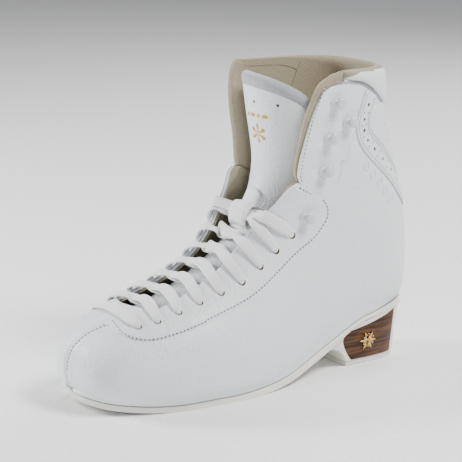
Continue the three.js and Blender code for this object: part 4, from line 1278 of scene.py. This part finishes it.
class BOOT_OT_tongue(bpy.types.Operator):
    """Tongue leather with its felt backing, lace keeper and gold foil"""

    bl_idname = "boot.tongue"
    bl_label = "Tongue"

    def execute(self, context):
        bend = [tuple(tongue(v) * MM) for v in (9.95, 10.6)]

        def sheet(name, finish, slot, wide, low, high, outer, inner, radius, lip=0.0):
            share = crowded(40, 55.0, radius)[None, :] * 2 - 1
            rise = crowded(110, 190.0, radius)[:, None]
            top = high - 0.45 * np.abs(share) ** 3 - 0.6 * np.abs(share) ** 14 - 0.1 * share - 0.03
            v = mix(low, top, rise)
            edge = np.minimum((1 - np.abs(share)) * 27, np.minimum(rise, 1 - rise) * 190)
            middle, half = (outer + inner) / 2, (outer - inner) / 2 * bullnose(edge, radius)
            crest = lip * smooth((rise - 0.955) / 0.02)
            made = shell(name, tongue(v, share * wide, middle + half + crest * bullnose(edge, radius)),
                         tongue(v, share * wide, middle - half))
            dress(made, finish, slot, None)
            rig.blend(made, "root", "tongue", *bend)
            return made

        leather = sheet("tongue_leather", "tongue leather", "white_leather", 0.97, 3.78, RIM - 0.36,
                        0.0, -2.2, 0.9)
        cutters = [(self.place(*spot), 1.05, 1.9) for spot in TONGUE_HOLES]
        for k in range(7):
            cutters += [(self.place(4.95 + 0.62 * k, across), 0.6, 1.9) for across in (-0.3, 0.3)]
        punch(leather, cutters)
        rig.replaces(leather, "tongue_lower", "tongue_upper")
        felt = sheet("tongue_felt", "felt", "grey_felt", 1.02, 3.75, RIM - 0.14, -1.7, -6.2, 2.3, lip=2.2)
        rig.replaces(felt, "tongue_felt_lower", "tongue_felt_upper")
        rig.padded(felt, fill=0.7)
        # Dark discs just under the surface in the tongue's three holes: painted shade.
        points, faces = bead(2.3, 2.3, 0.3, 7, 14)
        hole_shade_discs = [(placed(points - (0, 0, 0.32), self.place(*spot)), faces) for spot in TONGUE_HOLES]
        dress(merge("tongue_hole_shadows", hole_shade_discs, 0), "painted hole shade", "fibre_board", "tongue")

        half_tab, round_from = 7.4, 9.86
        s = np.linspace(9.3, 10.2, 34)[:, None]
        t = np.linspace(-1, 1, 19)[None, :]
        width = half_tab * np.sqrt(np.maximum(1 - (np.maximum(0, s - round_from) / 0.36) ** 2, 0.02))
        across = width * t / tongue_half(s)
        crest = np.sqrt(np.maximum(1 - t**2, 0.02)) ** 0.35
        high = 0.5 + 1.5 * crest * np.minimum(1, np.sqrt(np.maximum((10.21 - s) / 0.08, 0.02)))
        tab = shell("keeper_tab", tongue(s, across, high), tongue(s, across, 0.25 + 0 * high))
        dress(tab, "webbing", "white_leather")
        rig.replaces(tab, "lace_keeper_tab")
        s = np.linspace(0, 1, 60)[:, None]
        arch = np.maximum(np.sin(np.pi * s), 0.0) ** 0.42
        v = mix(8.46, 9.4, s)
        ribs = 0.75 * np.abs(np.sin(np.pi * 2 * (t + 1))) ** 0.7
        soft = np.sqrt(np.maximum(1 - np.abs(t) ** 6, 0.03))
        across = 9.4 * t / tongue_half(9)
        outer = tongue(v, across, 0.5 + 6.6 * arch + (1.0 + ribs) * soft)
        inner = tongue(v, across, 0.35 + 6.6 * arch * np.ones_like(t) - 0.15 * soft)
        loop = shell("keeper_loop", outer, inner)
        dress(loop, "webbing", "white_leather")
        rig.replaces(loop, "lace_keeper_loop")

        for row, gap in enumerate((2.2, 3.9)):
            turn = np.linspace(-0.15, 1.15, 60) * math.pi
            v = 9.78 + 0.036 * (half_tab + gap) * np.sin(turn)
            past = np.maximum(-turn, turn - math.pi)
            v = np.where(past > 0, 9.78 - past * 1.2, v)
            u = (half_tab + gap) * np.clip(np.cos(turn), -1, 1) / tongue_half(v)
            seam = beads(f"keeper_stitches_{row + 1}", tongue(v, u, 0.12), tongue_up(v, u), 1.9,
                         (1.2, 0.6, 0.4))
            dress(seam, "cord", "white_leather")

        foil = []
        for arm in range(6):
            turn = arm * math.pi / 3 + math.pi / 6
            for reach, length, lean in ((2.6, 5.0, 0), (3.5, 2.2, 0.9), (3.5, 2.2, -0.9)):
                points, faces = bead(length, 0.85, 0.34)
                points = spun(spun(points, lean) + (reach, 0, 0), turn)
                foil.append((placed(points * 1.45, self.place(13.2, 0.02)), faces))
        for k, across in enumerate((-0.27, -0.09, 0.09, 0.27)):
            points, faces = bead(5.4 if k % 2 else 3.6, 2.6, 0.4, 5, 4)
            foil.append((placed(points, self.place(14.05, across)), faces))
        dress(merge("tongue_gold_foil", foil, 30), "foil", "gold", "tongue")
        return {"FINISHED"}

    def place(self, station, across):
        point = tongue(station, across, 0)
        up = tongue(station + 0.1, across, 0) - point
        wide = tongue(station, across + 0.02, 0) - tongue(station, across - 0.02, 0)
        return seat(point, unit(np.cross(wide, up)), up)


# ------------------------------------------------------------------ lace
LACE_OVER = 2.35  # out from the leather, on top of the facing
LACE_UNDER = -6.2
LACE_INSIDE = -4.6
CROSS_LIFT = 1.1  # half the step between the two strands of a crossing


def around(v, a):
    """Direction round the leather towards greater angles."""
    return unit(skin_base(v, a + 0.01) - skin_base(v, a - 0.01))


def lace_section():
    """Width and thickness of the lace where it lies flat."""
    return sizes().lace_width / MM, sizes().lace_thickness / MM


def lace_half(side):
    """Points, up vectors and (width, thickness) of the lace from the vamp bar to one inside end."""
    broad = lace_section()
    drawn, hidden = (3.3, 2.4), (4.2, 1.9)
    points, ups, size = [], [], []

    def add(point, up, wide):
        points.append(point)
        ups.append(up)
        size.append(wide)

    def over(v, a, out, up, wide):
        add(skin(v, a, out), up, wide)

    (v0, a0), (v1, a1) = EYELETS[:2]
    normal, turn = outward(v0, side * a0), side * around(v0, side * a0)
    over(v0, side * (a0 - 0.05), LACE_OVER, normal, broad)
    over(v0, side * (a0 - 0.013), LACE_OVER - 0.4, normal, mixed(broad, drawn))
    for depth in (0.4, -LEATHER, LACE_INSIDE):
        over(v0, side * a0, depth, turn, drawn)
    over(mix(v0, v1, 0.5), side * mix(a0, a1, 0.5), LACE_UNDER, turn, hidden)
    for depth in (LACE_INSIDE, -LEATHER, 0.4):
        over(v1, side * a1, depth, turn, drawn)
    sign, start = 1.0, side
    last = len(EYELETS) - 2
    for eyelet in range(1, last):
        (v0, a0), (v1, a1) = EYELETS[eyelet:eyelet + 2]
        near, far, middle = mix(v0, v1, 0.25), mix(v0, v1, 0.8), mix(v0, v1, 0.52)
        normal = sign * outward(v0, start * a0)
        over(v0 + 0.03, start * (a0 - 0.018), LACE_OVER - 0.4, normal, mixed(broad, drawn))
        if start > 0:
            over(near, float(throat(near)), LACE_OVER - 0.1, normal, broad)
        else:
            crest = sign * tongue_up(near)
            over(near - 0.1, -1.12 * float(throat(near)), LACE_OVER + 0.8, unit(normal + 1.5 * crest), broad)
            over(near + 0.02, -0.7 * float(throat(near)), LACE_OVER + 0.3, crest, broad)
        lift = max(float(tongue_depth(middle)) - 1.6, 3.1) + start * CROSS_LIFT
        up = tongue_up(middle)
        add(tongue(middle, 0.35 * start, lift + 1.3), sign * unit(up + 0.4 * sign * normal), broad)
        add(tongue(middle, 0, lift), sign * up, broad)
        normal = sign * outward(far, -start * float(throat(far)))
        over(far, -start * float(throat(far)), LACE_UNDER + 0.2, normal, hidden)
        turn = -sign * -start * around(v1, -start * a1)
        for depth in (LACE_INSIDE - 0.4, -LEATHER, 0.4):
            over(v1, -start * a1, depth, turn, drawn)
        sign, start = -sign, -start
    (v0, a0), (v1, a1) = EYELETS[last:]
    normal = sign * outward(v0, start * a0)
    over(v0 + 0.03, start * (a0 - 0.018), LACE_OVER - 0.4, normal, mixed(broad, drawn))
    near = mix(v0, v1, 0.35)
    over(near, start * float(throat(near)), LACE_OVER, normal, broad)
    up = sign * tongue_up(8.95)
    for station, across, lift in ((8.88, 0.4, 4.4), (8.95, 0, 4.0), (9.02, -0.4, 4.4)):
        add(tongue(station, across * start, lift + start * CROSS_LIFT), up, (broad[0] * 0.9, broad[1]))
    far = mix(v0, v1, 0.85)
    normal = sign * outward(v1, -start * a1)
    over(far, -start * float(throat(far)), LACE_OVER + 0.4, normal, broad)
    over(v1 - 0.01, -start * (a1 - 0.05), LACE_OVER, normal, broad)
    over(v1, -start * (a1 - 0.016), LACE_OVER - 0.6, normal, mixed(broad, drawn))
    turn = sign * -start * around(v1, -start * a1)
    for depth in (0.4, -LEATHER, LACE_INSIDE):
        over(v1, -start * a1, depth, turn, drawn)
    over(v1 - 0.1, -start * (a1 + 0.05), LACE_UNDER - 0.3, turn, drawn)
    over(v1 - 0.25, -start * (a1 + 0.13), LACE_UNDER - 0.8, turn, drawn)
    return points, ups, size


def mixed(a, b):
    return tuple((p + q) / 2 for p, q in zip(a, b))


def flow(points, step):
    """Centripetal curve through points; returns the curve and where each place lies among the points."""
    p = np.array(points)
    p = np.concatenate([2 * p[:1] - p[1:2], p, 2 * p[-1:] - p[-2:-1]])
    out, where = [], []
    for i in range(1, len(p) - 2):
        p0, p1, p2, p3 = p[i - 1:i + 3]
        d0, d1, d2 = (max(np.linalg.norm(q - r), 1e-4) ** 0.5 for q, r in ((p1, p0), (p2, p1), (p3, p2)))
        t1 = ((p1 - p0) / d0 - (p2 - p0) / (d0 + d1) + (p2 - p1) / d1) * d1
        t2 = ((p2 - p1) / d1 - (p3 - p1) / (d1 + d2) + (p3 - p2) / d2) * d1
        count = max(int(np.linalg.norm(p2 - p1) / step), 2)
        s = np.linspace(0, 1, count, endpoint=False)[:, None]
        out.append(hermite(p1, p2, t1, t2, s))
        where.append(i - 1 + s[:, 0])
    return np.concatenate([*out, p[-2:-1]]), np.concatenate([*where, [len(points) - 1.0]])


class BOOT_OT_lace(bpy.types.Operator):
    """The flat woven lace, crossed through nine pairs of eyelets"""

    bl_idname = "boot.lace"
    bl_label = "Lace"

    def execute(self, context):
        left, right = lace_half(1), lace_half(-1)
        v0 = EYELETS[0][0]
        middle = [skin(v0, 0, LACE_OVER)]
        points = left[0][::-1] + middle + right[0]
        ups = left[1][::-1] + [outward(v0, 0)] + right[1]
        size = left[2][::-1] + [lace_section()] + right[2]
        curve, where = flow(points, 1.1)
        knots = np.arange(len(points))
        ups, size = np.array(ups), np.array(size)
        up = np.stack([np.interp(where, knots, ups[:, k]) for k in range(3)], -1)
        sizing = np.stack([np.interp(where, knots, size[:, k]) for k in range(2)], -1)
        for k in range(3):
            up[2:-2, k] = np.convolve(up[:, k], np.ones(5) / 5, "valid")
        lace = tube("lace_woven", curve, up, sizing)
        dress(lace, "lace", "lace_white")
        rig.replaces(lace, "lace")
        for name, _ in SIDES:
            repaint(f"aglet_{name}", "tip")
        return {"FINISHED"}


class BOOT_OT_hooks(bpy.types.Operator):
    """White enamelled lace hooks, the first on the facing and four on the flap of each side"""

    bl_idname = "boot.hooks"
    bl_label = "Hooks"

    def execute(self, context):
        for name, side in SIDES:
            for i, (v, a) in enumerate(HOOKS):
                matrix = skin_seat(v, side * a, 0.0 if i else 1.0)
                body = f"{name}_flap" if i else "root"
                hook = turned(f"hook_{name}_{i + 1}_enamel", HOOK_PROFILE, matrix, 36)
                matrix[:3, 3] *= MM
                to_local = Matrix(matrix.tolist()).inverted()
                back = to_local.inverted()
                for vertex in hook.data.vertices:
                    p = to_local @ vertex.co
                    lift = min(max((p.z / MM - 1.2) / 3.0, 0), 1)
                    p.x += side * 1.5 * MM * lift
                    p.y += 0.5 * MM * lift
                    vertex.co = back @ p
                dress(hook, "enamel", "white_enamel", body)
                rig.replaces(hook, f"hook_{name}_{i + 1}")
        return {"FINISHED"}


class BOOT_OT_sole(bpy.types.Operator):
    """Lacquered sole, heel, wood sides and the gold ornament"""

    bl_idname = "boot.sole"
    bl_label = "Sole and heel"

    def execute(self, context):
        end = mix(*WAIST, 0.72)
        v = (crowded(150, 280.0, 1.0) * end)[:, None]
        t = crowded(40, 80.0, 1.0)[None, :]
        v, t = np.broadcast_arrays(v, t)
        edge = feather(v)
        angle = mix(edge, 2 - edge, t)
        out = outward(v, angle) * (1, 1, 0)
        rim = np.maximum(np.abs(2 * t - 1) ** 8, np.maximum(1 - v / 0.25, 1 - (end - v) / 0.08))
        top = skin(v, angle, 0.12) + unit(out) * (rim * 1.5)[..., None]
        flat = sections(v)[4] - SOLE - 0.5
        height = mix(flat, skin(v, angle, 0.6)[..., 2] - SOLE, smooth((v - 7.8) / 1.2))
        border = np.minimum(np.minimum(t, 1 - t) * 80, np.minimum(v, end - v) * 20)
        chamfer = 0.7 * (1 - bullnose(border, 0.9))
        top[..., 2] -= sole_drop(v)
        low = top.copy()
        low[..., 2] = np.maximum(0, np.minimum(height, top[..., 2] - 1.5)) + chamfer
        low[..., 2] -= 0.4 * smooth((v - 8.2) / 0.3)
        top[..., 2] -= chamfer
        sole = shell("outsole_lacquered", top, low)
        dress(sole, "sole", "white_sole")
        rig.replaces(sole, "outsole")
        pieces = (
            ("heel_block_lacquered", "heel_block", 0.9, "sole", "white_sole"),
            ("heel_lift_rubber", "heel_top_piece", 0.7, "rubber", "rubber_cream"),
            ("heel_inlay_lateral_wood", "heel_inlay_lateral", 0.25, "wood", "wood_veneer"),
            ("heel_inlay_medial_wood", "heel_inlay_medial", 0.25, "wood", "wood_veneer"),
            ("heel_crystal_gold", "heel_badge", 0.3, "gold", "gold"),
            ("badge_rivet_1_gold", "badge_rivet_1", 0.25, "gold", "gold"),
            ("badge_rivet_2_gold", "badge_rivet_2", 0.25, "gold", "gold"),
        )
        for name, node, bevel, finish, slot in pieces:
            made = finer(name, node, bevel)
            dress(made, finish, slot)
            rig.replaces(made, node)
        corners = np.array([tuple(v.co) for v in frame["nodes"]["heel_badge"].data.vertices]) / MM
        middle = (corners.min(0) + corners.max(0)) / 2
        stones = []
        for reach in (2.3, 4.6):
            for k in range(6):
                turn = k * math.pi / 3 + math.pi / 2
                y, z = middle[1] + reach * math.cos(turn), middle[2] + reach * math.sin(turn)
                near = np.hypot(corners[:, 1] - y, corners[:, 2] - z) < 3.5
                points, faces = bead(0.9, 0.9, 0.7, 5, 8)
                x = corners[near, 0].max() if near.any() else corners[:, 0].max()
                stones.append((points[:, [2, 0, 1]] + (x - 0.1, y, z), faces))
        dress(merge("heel_crystal_stones", stones, 0), "stone", "gold")
        return {"FINISHED"}


def stitched(name, v, a, out, pitch=None, size=(1.5, 0.6, 0.4), holes=True, turn=0.0, side=None):
    """A row of stitches on the leather, with dark beads between them as painted shade of the needle holes."""
    pitch = pitch or sizes().stitch / MM
    points, normals = skin(v, a, out), outward(v, a)
    row = beads(name, points, normals, pitch, size, turn)
    dress(row, "thread" if holes else "cord", "white_leather", None if side else "root")
    made = [row]
    # With holes, dark beads laid on the leather between the stitches paint the shade of the needle holes.
    if holes:
        steps = np.concatenate([[0], np.cumsum(np.linalg.norm(np.diff(points, axis=0), axis=1))])
        count = max(int(steps[-1] / pitch), 2)
        at = np.arange(count + 1) * steps[-1] / count
        line, up = (np.stack([np.interp(at, steps, some[:, k]) for k in range(3)], -1)
                    for some in (points, normals))
        local, faces = bead(1.3, 0.95, 0.4, 3, 8)
        meshes = [(c + 0.02 * u + local @ np.stack([f, np.cross(u, f), u]), faces)
                  for c, f, u in zip(line, unit(np.gradient(line, axis=0)), unit(up))]
        dark = merge(f"{name}_needle_hole_shade", meshes, 0)
        dress(dark, "needle hole shade", "white_leather", None if side else "root")
        made.append(dark)
    if side:
        for obj in made:
            hinge(obj, side)


class BOOT_OT_stitching(bpy.types.Operator):
    """Rows of stitching on the upper"""

    bl_idname = "boot.stitching"
    bl_label = "Stitching"

    def execute(self, context):
        rope = dict(pitch=1.75, size=(2.7, 0.85, 0.9), holes=False, turn=0.95)
        for name, side in SIDES:
            front = mirrored(FRONT_STITCHES)(np.linspace(0, 0.499, 60))
            v = np.linspace(5.6, 11.0, 160)
            a = np.concatenate([front[1], shifted(v, facing_edge(v), -2.3)])
            v = np.concatenate([front[0], v])
            if side < 0:
                v, a = v[12:], a[12:]
            stitched(f"facing_stitches_{name}", v, side * a, 0.62 + 0.32 * smooth((3.8 - v) / 0.25))
            a = np.linspace(float(a[-1]), 0.35, 24)[1:]
            v = np.full(a.shape, 10.98)
            stitched(f"facing_top_stitches_{name}", v, side * a, 0.62)

            v = np.linspace(NOTCH + 0.2, 15.3, 160)
            a = shifted(v, flap_edge[side](v), 2.4)
            stitched(f"flap_stitches_{name}", v, side * a, -0.14, side=side)
            a = np.linspace(float(flap_edge[side](15.4)) + 0.012, float(behind_fold(15.4)), 60)
            stitched(f"flap_rope_stitches_{name}", collar_seam(a) - 0.055, side * a, 0.3, side=side, **rope)
        start = float(behind_fold(15.3))
        a = np.linspace(start, 2 - start, 200)
        folded = np.where(a > 1, 2 - a, a)
        stitched("collar_rope_stitches", collar_seam(folded) - 0.055, a, 0.3, **rope)
        s = np.linspace(0.01, 0.99, 300)
        for name, t in (("outer", 0.14), ("inner", 0.86)):
            v, a = band_point(s, t)
            stitched(f"band_{name}_stitches", v, a, 0.9, pitch=1.6, size=(1.7, 0.7, 0.5), holes=False,
                     turn=0.5)
        v = np.linspace(0.9, 3.45, 90)
        stitched("toe_seam_stitches", v, shifted(v, toe_seam(v), 2.0), 0.35)
        return {"FINISHED"}


STEPS = (BOOT_OT_finishes, BOOT_OT_stage, BOOT_OT_sole, BOOT_OT_quarters, BOOT_OT_flaps, BOOT_OT_collar,
         BOOT_OT_linings, BOOT_OT_backstay, BOOT_OT_tongue, BOOT_OT_lace, BOOT_OT_hooks, BOOT_OT_stitching)


class BOOT_PT_panel(bpy.types.Panel):
    """Lists every step of the boot"""

    bl_idname = "BOOT_PT_panel"
    bl_label = "Figure skating boot"
    bl_space_type = "VIEW_3D"
    bl_region_type = "UI"
    bl_category = "Boot"

    def draw(self, context):
        for group in (context.scene.boot_sizes, context.scene.boot_colours):
            for key in group.__annotations__:
                self.layout.prop(group, key)
        for step in STEPS:
            self.layout.operator(step.bl_idname)


CLASSES = (BootSizes, BootColours, *STEPS, BOOT_PT_panel)


def register():
    for cls in CLASSES:
        bpy.utils.register_class(cls)
    bpy.types.Scene.boot_sizes = bpy.props.PointerProperty(type=BootSizes)
    bpy.types.Scene.boot_colours = bpy.props.PointerProperty(type=BootColours)


def unregister():
    del bpy.types.Scene.boot_colours
    del bpy.types.Scene.boot_sizes
    for cls in reversed(CLASSES):
        bpy.utils.unregister_class(cls)


def main():
    register()
    for step in STEPS:
        group, name = step.bl_idname.split(".")
        getattr(getattr(bpy.ops, group), name)()
    with open("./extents.json", "w") as out:
        json.dump({"cad": CAD_BOX, "visual": [list(corner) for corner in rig.bounds()]}, out)


if __name__ == "__main__":
    main()
